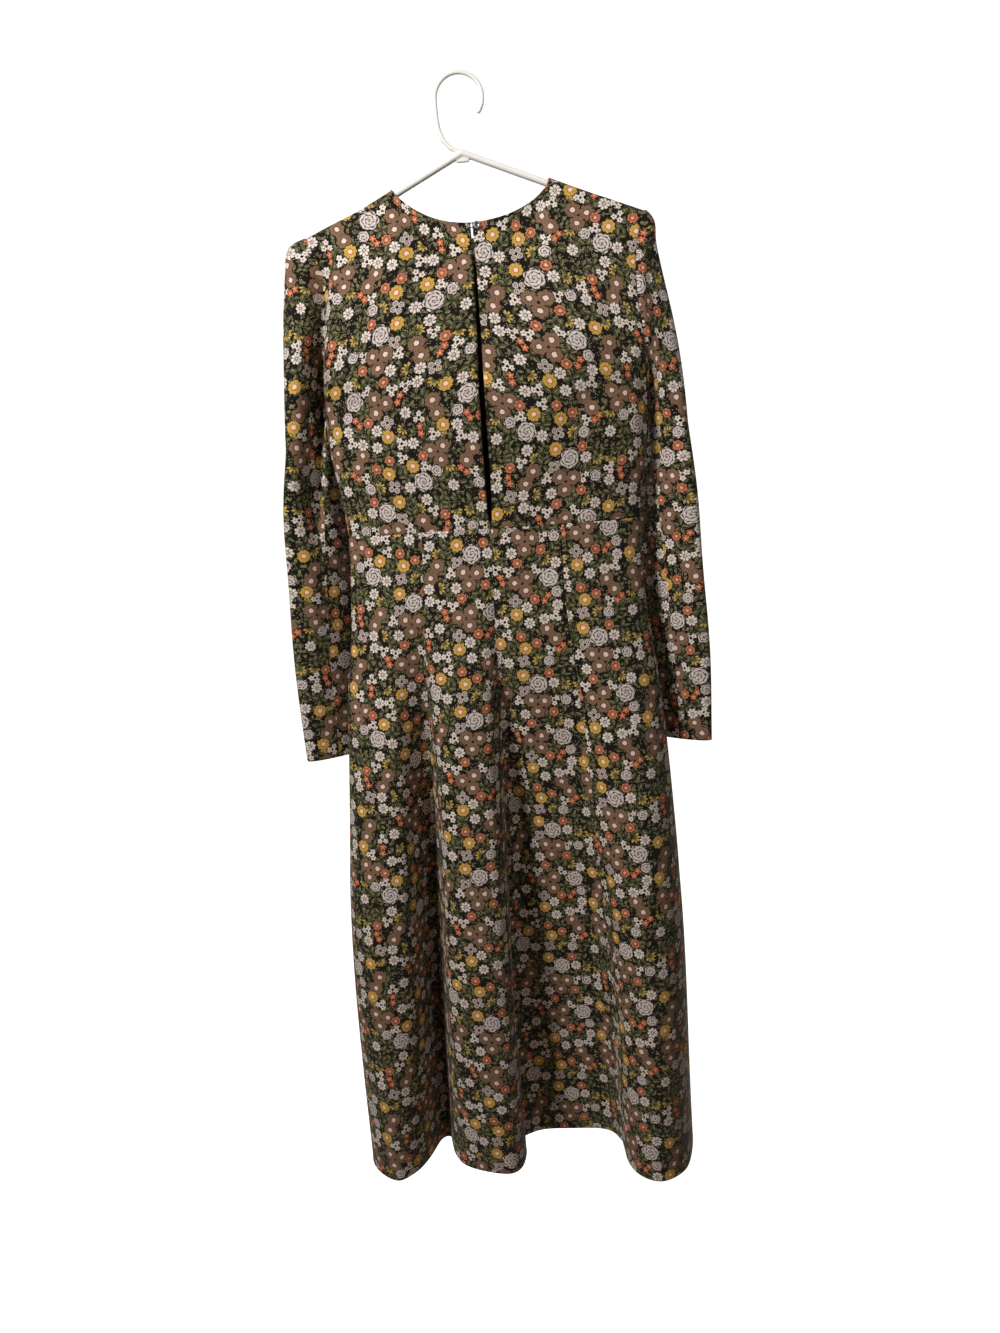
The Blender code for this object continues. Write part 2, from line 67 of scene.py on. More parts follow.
TUBE = 0.0040               # radius of the arms' tube
APEX = 0.079                # from the rail down to where the arms meet
ARM_SLOPE = math.radians(24.0)
HANGER_ROLL = math.radians(0.95)
ARM_REACH = 0.176           # half the hanger's width
BAR = 0.186                 # from the rail down to the lower bar
HANGER_BEND = 0.009
HOOK_INNER = 0.0235
HOOK_WIRE = 0.0026
HOOK_TIP = -35.0
HOOK_NECK = ((-0.0260, -0.040), (-0.0245, -0.053), (-0.0205, -0.064), (-0.0130, -0.073))
HOOK_FOOT = (0.002, 0.0005)     # aside of and below the apex
LUG = (0.014, 0.0034, 0.010)
VOXEL = 0.0009              # of the moulding's mesh

# --- sizes of the dress

NECK_HALF = 0.087
SHOULDER_HALF = 0.190
NAPE = 0.1565               # from the rail down to the neckline's lowest place at the back
THROAT = 0.163              # and at the front
NECK_FLATNESS = {LEFT: 1.75, RIGHT: 1.30}
NECK_EASE = 1.6
TUBE_REACH = 0.12           # the cloth leaves the tube over this share of the neckline
TOP_REACH = 0.8             # share of the bodice down which the top line's spacing is felt
TOP_FLAT = 0.25             # share down which it rounds into its section
SHOULDER_LIFT = {LEFT: 0.0050, RIGHT: 0.0015}
LIFT_START = 0.115
TUBE_SIDE = 0.0054          # from the tube's middle out to the cloth that lies over it
TUBE_TOP = 0.0058
UNDERARM = 0.60             # the armhole's foot, as a share of the bodice's height
WAIST = 0.490
HEM = 1.316
FOLDS_HIGH = 0.88           # down to here the skirt's folds keep their higher form
GORE_PLACE = 0.125
GORE_ANGLE = 28.0
CAP_END = 0.385
CUFF = 0.768
SLEEVE_GAP = 0.0017
CAP_PUFF = {LEFT: 0.0190, RIGHT: 0.0050}
CAP_EARLY = 0.36            # under 1, the puff stands nearer the armhole than the cap's end
RIGHT_FORWARD = 0.0080      # how far the right sleeve's top lies farther forward
RIGHT_TURN = 7.0
RING_START, RING_LEAN = -72, 32     # of the sleeve's ring, in degrees
NECK_TURN = 6 / 13          # share of the bodice's top line that is the neckline

BUTTON_RADIUS = 0.0040
BUTTON_THICK = 0.0016
BUTTON_ASIDE = 0.0060
BUTTON_DROP = 0.0035
SHANK_RADIUS = 0.0010
SHANK = 0.0018
LOOP_CORD = 0.0005
LOOP_END = 0.0045
LOOP_SPREAD = 0.0022
ZIP_TOP = 0.494
ZIP_END = 0.712
ZIP_SPREAD = 0.005
ZIP_TEETH = 110
ZIP_TAPE = 0.0004
ZIP_TOOTH = (0.0042, 0.0011, 0.0011)
ZIP_OUT = (0.0017, 0.0009)  # from the cloth's middle out to the tape, and on to the teeth
SEAM = 0.0003
CLOTH = 0.0012
GATHERS = 26                # round a sleeve's head
GATHER, GATHER_FALL = 0.0007, 0.10      # their height, and how far down the cap they run
PUFF, PUFF_FALL, PUFF_SPREAD = 0.003, 0.06, 0.05    # of the gathered head

# the tables are in millimetres, and in thousandths of a way round, a share or a bow

def read_rows(kind, rows):
    return [kind(*(number / 1000 for number in row)) for row in rows]


BodiceRow = namedtuple("BodiceRow", "share edge gap depth shift slit")
BODICE = read_rows(BodiceRow, (
    (0, 190, 5.4, 26, 6, 1.6), (17.4, 188, 5.4, 26, 6, 1.6), (60, 183, 10, 28, 6.5, 1.7),
    (140, 177.5, 17, 32, 7, 2), (250, 176.5, 25, 38, 7, 2.3), (380, 181.5, 28.5, 45, 6.8, 2.8),
    (500, 188, 21, 50, 6, 3.4), (600, 190.5, 0, 50, 5.5, 3.6), (720, 186, 0, 46, 5, 3.8),
    (860, 178, 0, 40, 4.5, 3.6), (950, 174.5, 0, 37, 4, 2.6), (1000, 173.5, 0, 36, 4, 0.3),
))

SkirtRow = namedtuple("SkirtRow", "drop half depth shift flutes")
SKIRT = read_rows(SkirtRow, (
    (490, 173.5, 36, 4, 0), (530, 174.5, 38, 3, 0), (582, 178, 42, 1.5, 30),
    (636, 184, 46, 1.5, 90), (700, 192.5, 50, 0.8, 200), (770, 198.8, 52, 0.4, 340),
    (860, 205.5, 54, 0, 500), (960, 211.5, 56, -2, 640), (1070, 215, 58, -4, 780),
    (1190, 216.5, 59, -4, 910), (1316, 216.5, 60, -4, 1000),
))

# place round the skirt, then across and depth of its folds high up, and at the hem if they differ
Fold = namedtuple("Fold", "place high_across high_deep across deep")
FOLDS = read_rows(Fold, ((*row[:3], *row[-2:]) for row in (
    (0, -11, 20, -11, -7), (20, 10, 40, 10, 11), (60, 56, 30, 56, 13), (100, 104, 14, 104, 8),
    (125, 122, -16), (143, 128, -56), (165, 143, -82), (190, 169, -92), (215, 198, -73),
    (235, 211, -40), (250, 216.5, 0), (285, 204, 45), (325, 168, 78), (360, 132, 54),
    (390, 106, 38), (430, 76, 58), (465, 38, 78), (505, 0, 60), (540, -28, 38), (580, -62, 60),
    (612, -94, 78), (645, -126, 50), (672, -146, 38), (708, -178, 66), (732, -205, 36),
    (750, -216.5, 0), (768, -208, -49), (795, -174, -80), (822, -132, -80, -150, -66),
    (842, -118, -61, -135, -40), (860, -108, 16, -122, -4), (875, -106.6, 36, -111, 2),
    (890, -96, -10.5, -102, -30), (910, -88.5, -57, -83, -56), (940, -62, -71, -36, -72),
    (964, -12, -66), (982, -6, -36),
)))

SleeveRow = namedtuple("SleeveRow", "drop left right half thick yaw forward")
SLEEVE = [SleeveRow(*row) for row in (  # in metres and degrees
    (0.385, 0.2315, 0.237, 0.06, 0.0205, 58, 0.032),
    (0.47, 0.2455, 0.2455, 0.058, 0.0195, 49, 0.03),
    (0.56, 0.25, 0.25, 0.055, 0.018, 43, 0.028),
    (0.66, 0.2535, 0.2545, 0.052, 0.0155, 40, 0.028),
    (0.768, 0.2515, 0.254, 0.049, 0.013, 38, 0.029),
)]

# both ends, bow, reach to the left, reach to the right if it differs, and height
Crease = namedtuple("Crease", "x0 z0 x1 z1 bow left right depth")
BACK_CREASES = (
    # along the armholes, where the sleeves' heads sink in
    (-158, -165, -193, -360, 0, 13, 7, -24), (-180, -255, -204, -495, 0, 13, 7, -29),
    (-202, -410, -184, -610, 0, 15, 7, -26), (-214, -420, -220, -740, 0, 14, 4),
    (-198, -400, -188, -740, 0, 14, 7, 8), (194, -290, 194, -480, 0, 9, -13),
    # bodice back
    (-165, -335, -60, -400, 100, 11, -3), (-160, -280, -100, -310, 50, 9, -2.2),
    (175, -330, 85, -395, -100, 11, -3), (180, -300, 125, -322, -50, 9, -2),
    (-85, -140, -75, -260, 40, 14, 2.2), (95, -140, 88, -250, -40, 14, 2),
    # over the waist
    (-120, -430, -105, -560, 50, 12, 2.2), (-55, -440, -48, -580, -50, 11, -2),
    (60, -430, 52, -570, 50, 12, -2.2), (125, -420, 118, -560, -50, 12, 2.2),
    # skirt back
    (3, -540, 4, -760, 0, 9, 12, -6), (4, -660, 7, -900, 0, 10, 14, -10),
    (-94, -600, -104, -860, 20, 13, 9, -10), (92, -560, 90, -800, 20, 10, 12, -3),
    (-150, -560, -158, -760, 20, 12, -2), (60, -900, 66, -1300, 30, 20, -5),
    (-91, -790, -129, -1380, 0, 12, -8), (16, -790, -11, -1380, 0, 13, -10),
)
FRONT_CREASES = (
    (-160, -330, -70, -390, 120, 12, -3), (168, -325, 80, -385, -120, 12, -3),
    (-80, -150, -70, -270, 50, 15, 2.2), (88, -150, 80, -280, -50, 15, 2.2),
    (10, -210, 4, -400, 40, 18, -1.8), (-100, -430, -92, -560, 50, 12, 2),
    (95, -430, 100, -580, 50, 12, -2.2), (30, -450, 26, -590, -50, 12, 2),
    (-105, -600, -112, -840, 20, 12, 15, -8), (100, -620, 106, -860, 20, 15, 12, -8),
)
CREASES = [(face, crease) for face, rows in ((BACK, BACK_CREASES), (FRONT, FRONT_CREASES))
           for crease in read_rows(Crease, ((*row[:6], *row[-2:]) for row in rows))]


# --- reading the tables

def mix(a, b, share):
    return a + (b - a) * share


def ease(share):
    """A smooth step from 0 to 1, flat before 0 and after 1."""
    share = np.clip(share, 0.0, 1.0)
    return share * share * (3.0 - 2.0 * share)


def by_side(side, pair):
    return np.where(np.asarray(side) < 0, pair[LEFT], pair[RIGHT])


class Curve:
    """A smooth line through one column of a table, read at any places; it may go round."""

    def __init__(self, places, values, period=None):
        self.period = period
        if period:
            places = [places[-1] - period, *places, places[0] + period, places[1] + period]
            values = [values[-1], *values, values[0], values[1]]
        self.places, self.values = np.array(places, float), np.array(values, float)
        last = len(self.places) - 1
        before = np.maximum(np.arange(last + 1) - 1, 0)
        after = np.minimum(np.arange(last + 1) + 1, last)
        self.slopes = ((self.values[after] - self.values[before])
                       / (self.places[after] - self.places[before]))

    def __call__(self, place):
        place = np.asarray(place, float)
        if self.period:
            place = place % self.period
        i = np.searchsorted(self.places, place, side="right") - 1
        i = np.clip(i, 0, len(self.places) - 2)
        width = self.places[i + 1] - self.places[i]
        t = np.clip((place - self.places[i]) / width, 0.0, 1.0)
        a, b = self.values[i], self.values[i + 1]
        return (a * (1 + 2 * t) * (1 - t) ** 2 + b * t * t * (3 - 2 * t)
                + self.slopes[i] * width * t * (1 - t) ** 2
                - self.slopes[i + 1] * width * t * t * (1 - t))


def curves(table, **kind):
    """One Curve for each column of a table, read along its first column."""
    key, *names = table[0]._fields
    return {name: Curve([getattr(row, key) for row in table],
                        [getattr(row, name) for row in table], **kind) for name in names}


BODICE_CURVES, SKIRT_CURVES, SLEEVE_CURVES = curves(BODICE), curves(SKIRT), curves(SLEEVE)
FOLD_CURVES = curves(FOLDS, period=1.0)


# --- the dress's surfaces

def stack(x, y, z):
    return np.stack(np.broadcast_arrays(x, y, z), axis=-1).astype(float)


def shoulder_height(side, x):
    """Height of the shoulder seam, which lies over the hanger's arm."""
    slope = ARM_SLOPE - side * HANGER_ROLL
    lift = by_side(side, SHOULDER_LIFT) * ease((x - LIFT_START) / (SHOULDER_HALF - LIFT_START))
    return -APEX - (x + side * BODICE[0].shift) * np.tan(slope) + TUBE_TOP + lift


def top_line(face, side, turn):
    """Across and height of the neckline and shoulder, with the angle round the neckline."""
    along = np.clip(turn / NECK_TURN, 0.0, 1.0)
    angle = math.pi / 2 * (1 - (1 - along) ** NECK_EASE)
    lowest = -NAPE if face == BACK else -THROAT
    flat = np.clip(np.cos(angle), 0.0, 1.0) ** by_side(side, NECK_FLATNESS)
    neck_z = mix(shoulder_height(side, NECK_HALF), lowest, flat)
    run = np.sin(math.pi / 2 * np.clip((turn - NECK_TURN) / (1 - NECK_TURN), 0.0, 1.0))
    neck = turn < NECK_TURN
    x = np.where(neck, NECK_HALF * np.sin(angle), mix(NECK_HALF, SHOULDER_HALF, run))
    z = np.where(neck, neck_z, shoulder_height(side, x))
    return x, z, np.where(neck, angle, math.pi / 2)


def bodice_surface(face, side, turn, share):
    """Bodice surface: turn 0 at the centre, 1 at the side; share 0 at the top, 1 at the waist."""
    x_top, z_top, angle = top_line(face, side, turn)
    drop = share * (z_top + WAIST)
    read = {name: curve(share) for name, curve in BODICE_CURVES.items()}
    across = mix(x_top / SHOULDER_HALF, np.sin(math.pi / 2 * turn), ease(share / TOP_REACH))
    slit = read["slit"] if face == BACK else 0.0
    x = slit + (read["edge"] - slit) * across
    over_tube = np.sqrt(np.clip(1 - (1 - np.clip(drop / TUBE_TOP, 0, 1)) ** 2, 0.0, 1.0))
    off_tube = ease((NECK_TURN - turn) / (NECK_TURN * TUBE_REACH))
    edge = mix(TUBE_SIDE * over_tube, TUBE_SIDE, off_tube)
    edge = np.where(drop >= TUBE_TOP, np.maximum(0.0, read["gap"]), edge)
    rounded = np.sqrt(np.clip(1 - across * across, 0, 1))
    y = edge + (read["depth"] - edge) * mix(np.cos(angle) ** 2, rounded, ease(share / TOP_FLAT))
    return stack(side * x + read["shift"], face * y, z_top - drop)


def plain_angle(place):
    """Angle round the plain section of a place round the dress, measured from centre back."""
    place = np.asarray(place, float) % 1.0
    quarter = place % 0.5
    mirrored = quarter > 0.25
    quarter = np.where(mirrored, 0.5 - quarter, quarter)
    angle = np.where(quarter <= GORE_PLACE, GORE_ANGLE * quarter / GORE_PLACE,
                     mix(GORE_ANGLE, 90.0, (quarter - GORE_PLACE) / (0.25 - GORE_PLACE)))
    angle = np.radians(angle)
    angle = np.where(mirrored, math.pi - angle, angle)
    return angle + np.where(place >= 0.5, math.pi, 0.0)


def skirt_surface(place, drop):
    """Skirt surface: place 0 at centre back, 0.25 right side, 0.5 front, 0.75 left side."""
    read = {name: curve(drop) for name, curve in SKIRT_CURVES.items()}
    angle = plain_angle(place)
    share = np.maximum(0.0, read["flutes"])
    low = np.clip((drop - FOLDS_HIGH) / (HEM - FOLDS_HIGH), 0.0, 1.0)
    across, deep = (mix(FOLD_CURVES["high_" + name](place), FOLD_CURVES[name](place), low)
                    for name in ("across", "deep"))
    x = mix(read["half"] * np.sin(angle), across * read["half"] / SKIRT[-1].half, share)
    y = mix(-read["depth"] * np.cos(angle), deep, share)
    return stack(x + read["shift"], y, -np.asarray(drop, float))


def sleeve_tube(side, turn, drop):
    """Ring of the hanging sleeve: turn 0 at its outer edge, then back, inside and front."""
    read = {name: curve(drop) for name, curve in SLEEVE_CURVES.items()}
    reach, forward, yaw = read["left"], read["forward"], read["yaw"]
    if side == RIGHT:
        above_cuff = (CUFF - drop) / (CUFF - CAP_END)
        reach = read["right"]
        forward = forward + RIGHT_FORWARD * above_cuff
        yaw = yaw + RIGHT_TURN * above_cuff
    yaw = np.radians(yaw)
    width = np.hypot(read["half"] * np.cos(yaw), read["thick"] * np.sin(yaw))
    angle = np.radians(360 * turn + RING_START + RING_LEAN * np.cos(math.tau * turn))
    along = read["half"] * np.cos(angle)
    off = read["thick"] * np.sin(angle)
    x = reach - width + along * np.cos(yaw) - off * np.sin(yaw)
    y = forward - along * np.sin(yaw) - off * np.cos(yaw)
    return stack(side * x, y, -np.asarray(drop, float))


def sleeve_surface(side, turn, down):
    """Sleeve surface: down -1 at the armhole, 0 where the cap ends, 1 at the cuff."""
    tube = sleeve_tube(side, turn, mix(CAP_END, CUFF, np.clip(down, 0.0, 1.0)))
    round_turn = math.tau * turn
    share = UNDERARM * (1 - np.cos(round_turn)) / 2
    back, front = (bodice_surface(face, side, np.ones_like(share), share)
                   for face in (BACK, FRONT))
    armhole = np.where((turn % 1.0 <= 0.5)[..., None], back, front)
    armhole = armhole + stack(side * SLEEVE_GAP, -SLEEVE_GAP * np.sin(round_turn) / 2, 0.0)
    ring = sleeve_tube(side, turn, np.full_like(turn, CAP_END))
    hang = sleeve_tube(side, turn, np.full_like(turn, CUFF)) - ring
    hang /= np.linalg.norm(hang, axis=-1, keepdims=True)
    reach = ring - armhole
    fall = np.clip(down + 1, 0.0, 1.0)[..., None]
    length = np.linalg.norm(reach, axis=-1, keepdims=True)
    swing = (reach - hang * length) * (1 - np.sin(math.pi * turn) ** 4)[..., None]
    cap = armhole + reach * fall + swing * fall * fall * (1 - fall)
    fall = fall[..., 0]
    head = np.sin(math.pi * fall ** CAP_EARLY) * (1 - fall * fall) * (1 + np.cos(round_turn)) / 2
    cap[..., 0] += side * CAP_PUFF[side] * head
    return np.where((down >= 0)[..., None], tube, cap)


# --- shaders as expressions

def srgb(red, green, blue):
    """Linear colour of a screen colour given as 0 to 255."""
    def linear(c):
        c /= 255
        return c / 12.92 if c <= 0.04045 else ((c + 0.055) / 1.055) ** 2.4
    return (linear(red), linear(green), linear(blue), 1.0)


def maths(operation, reflected=False):
    """A method that adds one Math node to the tree of a Value."""
    def method(self, *others, clamp=False):
        values = (*others, self) if reflected else (self, *others)
        return self.shader.node("Math", dict(enumerate(values)),
                                operation=operation, use_clamp=clamp)
    return method


class Value:
    """A socket whose arithmetic adds Math nodes to its tree."""

    __add__ = __radd__ = maths("ADD")
    __mul__ = __rmul__ = maths("MULTIPLY")
    __sub__, __rsub__ = maths("SUBTRACT"), maths("SUBTRACT", reflected=True)
    __truediv__, __rtruediv__ = maths("DIVIDE"), maths("DIVIDE", reflected=True)
    __lt__, __gt__ = maths("LESS_THAN"), maths("GREATER_THAN")
    times_plus, wrap, power = maths("MULTIPLY_ADD"), maths("WRAP"), maths("POWER")
    minimum, maximum = maths("MINIMUM"), maths("MAXIMUM")
    sin, cos, arctan2 = maths("SINE"), maths("COSINE"), maths("ARCTAN2")
    abs, sqrt, floor, fract = maths("ABSOLUTE"), maths("SQRT"), maths("FLOOR"), maths("FRACT")

    def __init__(self, shader, socket):
        self.shader, self.socket = shader, socket

    def output(self, name):
        """Another output of the node that this value comes from."""
        return Value(self.shader, self.socket.node.outputs[name])

    def within(self, edge, soft):
        """1 where this is under the edge, 0 where it is over, with a soft step between."""
        return (edge - self).times_plus(1 / soft, 0.5, clamp=True)


class Shader:
    """A node tree and the one method that adds nodes to it."""

    def __init__(self, tree):
        self.tree = tree

    def node(self, kind, values=None, output=0, **settings):
        """Add a node, make its settings, then fill or link its sockets."""
        made = self.tree.nodes.new(kind if kind.startswith("NodeGroup") else "ShaderNode" + kind)
        for name, setting in settings.items():
            if name == "stops":
                ramp = made.color_ramp
                while len(ramp.elements) < len(setting):
                    ramp.elements.new(0.5)
                for element, (place, colour) in zip(ramp.elements, setting):
                    element.position, element.color = place, colour
            else:
                setattr(made.color_ramp if name == "interpolation" else made, name, setting)
        for name, value in (values or {}).items():
            if isinstance(value, Value):
                self.tree.links.new(value.socket, made.inputs[name])
            else:
                made.inputs[name].default_value = value
        return Value(self, made.outputs[output]) if made.outputs else made

    def vector(self, operation, *values, output=0):
        return self.node("VectorMath", dict(enumerate(values)), output, operation=operation)

    def blend(self, mask, under, over, how="MIX"):
        return self.node("Mix", {0: mask, 6: under, 7: over}, 2, data_type="RGBA", blend_type=how)

    def noise(self, place, scale, detail=2.0, roughness=0.5):
        return self.node("TexNoise", {"Vector": place, "Scale": scale, "Detail": detail,
                                      "Roughness": roughness}, noise_dimensions="3D")

    def bump(self, strength, distance, height):
        return self.node("Bump", {"Strength": strength, "Distance": distance, "Height": height})

    def on_object(self):
        return self.node("TexCoord", output=3)


# --- the print

LEAF_DARK, LEAF_LIGHT, LEAF_VEIN = srgb(78, 78, 50), srgb(142, 139, 100), srgb(36, 35, 22)
WHITE, GROUND = srgb(236, 222, 212), srgb(20, 16, 10)
GAP = 0.8                   # of ground between a motif and what it lies over, in millimetres
FAR_OFF = (9.0, 9.0, 0.0, 0.0)      # the place of a motif in a cell that has none

TILE = (130.0, 195.0)       # the repeat, in millimetres across and down
# cells across and down the repeat, motifs in them, a motif's radius and the room it keeps
Kind = namedtuple("Kind", "columns rows count reach room")
KINDS = {name: Kind(*row) for name, *row in (
    ("rose", 2, 3, 3, 12.6, 12), ("bud", 3, 4, 4, 7.6, 7.4), ("brown", 2, 3, 6, 18, 14),
    ("yellow", 2, 4, 6, 8.8, 8.2), ("daisy", 4, 6, 15, 6.8, 6.6), ("marigold", 3, 4, 8, 7.4, 7),
    ("star", 3, 4, 5, 8.4, 6.6), ("blossom", 3, 4, 8, 8, 6.6), ("floret", 3, 4, 6, 7.6, 6.4),
    ("button", 2, 4, 4, 8.6, 7.6), ("bell", 3, 4, 10, 7.4, 5), ("frond", 3, 4, 9, 12, 6),
    ("leaves", 3, 5, 15, 11, 6),
)}

# petals, radius and dent; streaks, their contrast and two colours of the face; rings of paint
# (middle radius, half width, softness, colour); flowers in a ring, how far out, and how much
# farther those rings are that have one flower more
Flower = namedtuple("Flower", "kind petals size dent streaks gain low high rings ring")
FLOWERS = [Flower(*row) for row in (
    ("blossom", 5, 3.7, 0.45, 0, 1, WHITE, WHITE, [(0, 0.9, 0.5, srgb(128, 112, 96))], (3, 4.2, 0)),
    ("floret", 5, 3.4, 0.45, 0, 1, WHITE, WHITE, [(0, 0.9, 0.5, srgb(128, 112, 96))], (3, 4.2, 0)),
    ("button", 9, 3.3, 0.1, 0, 1, srgb(208, 192, 184), WHITE,
     [(0, 1.9, 0.6, srgb(112, 96, 92)), (0, 0.9, 0.4, srgb(212, 192, 178))], (4, 4.7, 0)),
    ("brown", 7, 8.9, 0.17, 22, 1, srgb(84, 58, 42), srgb(148, 116, 92),
     [(0, 3.7, 0.6, srgb(84, 58, 50)), (0, 2.8, 0.4, srgb(236, 212, 200))], (2, 7.8, 1.3)),
    ("daisy", 8, 6.6, 0.26, 8, 1.6, srgb(88, 78, 74), WHITE,
     [(1.8, 0.5, 0.5, srgb(110, 96, 92))], None),
    ("star", 5, 4.0, 0.42, 5, 1, srgb(164, 80, 52), srgb(222, 128, 92),
     [(0, 1.0, 0.4, srgb(236, 190, 130))], (2, 3.9, 0)),
    ("marigold", 7, 6.0, 0.18, 17, 1, srgb(138, 76, 52), srgb(222, 142, 106),
     [(3.2, 0.5, 0.4, srgb(128, 68, 46)), (0, 1.2, 0.4, srgb(240, 200, 166))], None),
    ("yellow", 9, 7.9, 0.17, 20, 1, srgb(132, 92, 36), srgb(232, 190, 96),
     [(0, 3.7, 0.5, srgb(200, 110, 52)), (0, 2.5, 0.4, srgb(242, 220, 196))], None),
)]


def lay_out(rounds=500, seed=11, push_share=0.28, shake=1.5):
    """Centres of all the motifs in the repeat, pushed apart until each has its room."""
    draw = np.random.default_rng(seed)
    tile = np.array(TILE)
    names, cells, low, high, room = [], [], [], [], []
    for name, kind in KINDS.items():
        cell = tile / (kind.columns, kind.rows)
        for index in sorted(draw.permutation(kind.columns * kind.rows)[:kind.count]):
            corner = cell * (index % kind.columns, index // kind.columns)
            inset = np.minimum(kind.reach, cell / 2)
            names.append(name)
            cells.append(index)
            low.append(corner + inset)
            high.append(corner + cell - inset)
            room.append(kind.room)
    low, high, room = np.array(low), np.array(high), np.array(room)
    centres = low + (high - low) * draw.random(low.shape)
    for step in range(rounds):
        apart = centres[:, None] - centres[None, :]
        apart -= tile * np.round(apart / tile)
        distance = np.linalg.norm(apart, axis=-1) + 1e-6
        push = np.clip(room[:, None] + room[None, :] - distance, 0, None) / distance
        np.fill_diagonal(push, 0.0)
        centres = centres + (apart * push[..., None]).sum(axis=1) * push_share
        centres += draw.normal(0, shake * (1 - step / rounds) ** 2, centres.shape)
        centres = np.clip(centres, low, high)
    turns = draw.random(len(names))
    return {name: [(cells[i], centres[i], turns[i]) for i in range(len(names)) if names[i] == name]
            for name in KINDS}


class Print(Shader):
    """The floral print as a node tree on a place in millimetres of the flat cloth."""

    def spot(self, name):
        """Radius and angle round the nearest motif of a kind, and the number it drew."""
        kind = KINDS[name]
        count = kind.columns * kind.rows
        cell = (TILE[0] / kind.columns, TILE[1] / kind.rows)
        scaled = self.vector("MULTIPLY", self.place, (1 / cell[0], 1 / cell[1], 0.0))
        which = self.vector("FLOOR", scaled)
        which = self.vector("MODULO", which, (kind.columns, kind.rows, 1.0))
        index = self.vector("DOT_PRODUCT", which, (1 / count, kind.columns / count, 0.0), output=1)
        spots = [FAR_OFF] * count
        for number, centre, turn in self.motifs[name]:
            row, column = divmod(number, kind.columns)
            spots[number] = (centre[0] / cell[0] - column, centre[1] / cell[1] - row,
                             turn, (turn * 7.3) % 1.0)
        stops = [(max(0.0, (i - 0.5) / count), spot) for i, spot in enumerate(spots)]
        drawn = self.node("ValToRGB", {0: index}, stops=stops, interpolation="CONSTANT")
        away = self.vector("SUBTRACT", self.vector("FRACTION", scaled), drawn)
        flat = self.vector("MULTIPLY", away, (*cell, 0.0))
        radius = self.vector("LENGTH", flat, output=1)
        parts = self.node("SeparateXYZ", {0: flat})
        turn = self.node("SeparateXYZ", {0: away}, 2)
        angle = turn.times_plus(math.tau, parts.output("Y").arctan2(parts))
        return radius, angle, drawn.output("Alpha")

    def ring_of(self, radius, angle, count, reach):
        """Place seen from the nearest of a few centres set in a ring."""
        half = math.pi / count
        folded = angle.wrap(half, half * -1)
        return folded.cos() * radius - reach, folded.sin() * radius

    def polar(self, x, y):
        return (x * x + y * y).sqrt(), y.arctan2(x)

    def petals(self, angle, count):
        """0 between two petals and 1 along the middle of each."""
        return (angle * (count / 2)).cos().abs()

    def bloom(self, radius, ridge, size, dent):
        """How far inside the edge of a flower with dented petals a place is."""
        return ridge.times_plus(size * dent, size * (1 - dent)) - radius

    def paint(self, colour, inside, motif, *layers):
        """Lay a motif with a dark gap round it over the colour so far.

        inside is the distance in from the motif's edge; each layer is a mask and its paint.
        """
        for part, over in layers:
            motif = self.blend(part, motif, over)
        gap = inside.times_plus(2.0, 0.5 + 2.0 * GAP, clamp=True)
        return self.blend(inside.times_plus(2.0, 0.5, clamp=True),
                          self.blend(gap, colour, GROUND), motif)

    def cells(self, size, loose):
        return self.node("TexVoronoi", {"Vector": self.place, "Scale": 1 / size,
                                        "Randomness": loose}, voronoi_dimensions="2D")

    def litter(self, leaf_cell=6.2, half_width=1.5, dot_cell=2.4):
        """Ground with small loose leaves and dots."""
        cells = self.cells(leaf_cell, 0.8)
        away = self.vector("SUBTRACT", self.place, cells.output("Position"))
        local = self.node("SeparateXYZ", {0: away})
        pick = self.node("SeparateColor", {0: cells.output("Color")})
        radius, angle = self.polar(local, local.output("Y"))
        angle = pick.times_plus(math.tau, angle)
        x, y = angle.cos() * radius, (angle.sin() * radius).abs()
        leaf = (x * x).times_plus(-half_width / 11.0, half_width) - y
        leaf = leaf - (pick.output("Blue") < 0.22) * 9.0
        shade = self.blend(pick.output("Green"), LEAF_DARK, LEAF_LIGHT)
        colour = self.paint(GROUND, leaf, shade, (y.within(0.2, 0.3), LEAF_VEIN))
        dots = self.cells(dot_cell, 1.0)
        chosen = self.node("SeparateColor", {0: dots.output("Color")}) < 0.3
        return self.blend((dots * dot_cell).within(0.42, 0.4) * chosen, colour, srgb(196, 180, 160))

    def fronds(self, colour):
        """Stems with a row of leaves on both sides."""
        radius, angle, _ = self.spot("frond")
        x, y = angle.cos() * radius, (angle.sin() * radius).abs()
        slanted = x - y * 0.6
        step = slanted.wrap(3.3, -3.3)
        leaf = 2.0 - step * step * 0.45 - (y - 4.3).power(2.0) * 0.24
        leaf = leaf.minimum(9.9 - slanted.abs())
        stem = (0.35 - y).minimum(11.0 - x.abs())
        shade = self.blend(step.times_plus(0.3, 0.5, clamp=True), LEAF_DARK, LEAF_LIGHT)
        return self.paint(colour, leaf.maximum(stem), shade,
                          (step.abs().within(0.28, 0.3), LEAF_VEIN))

    def leaf_rings(self, colour):
        """Larger veined leaves, a few round one place."""
        radius, angle, drawn = self.spot("leaves")
        x, y = self.ring_of(radius, angle, drawn.times_plus(2.0, 3.5).floor(), 5.8)
        leaf = (x * x).times_plus(-2.4 / 23.0, 2.4) - y.abs()
        veins = (x * 0.9 - y.abs() * 0.7).fract().within(0.22, 0.2)
        shade = self.blend(y.times_plus(0.5, 0.5, clamp=True), LEAF_DARK, LEAF_LIGHT)
        return self.paint(colour, leaf, shade,
                          (y.abs().within(0.3, 0.3).maximum(veins * 0.7), LEAF_VEIN))

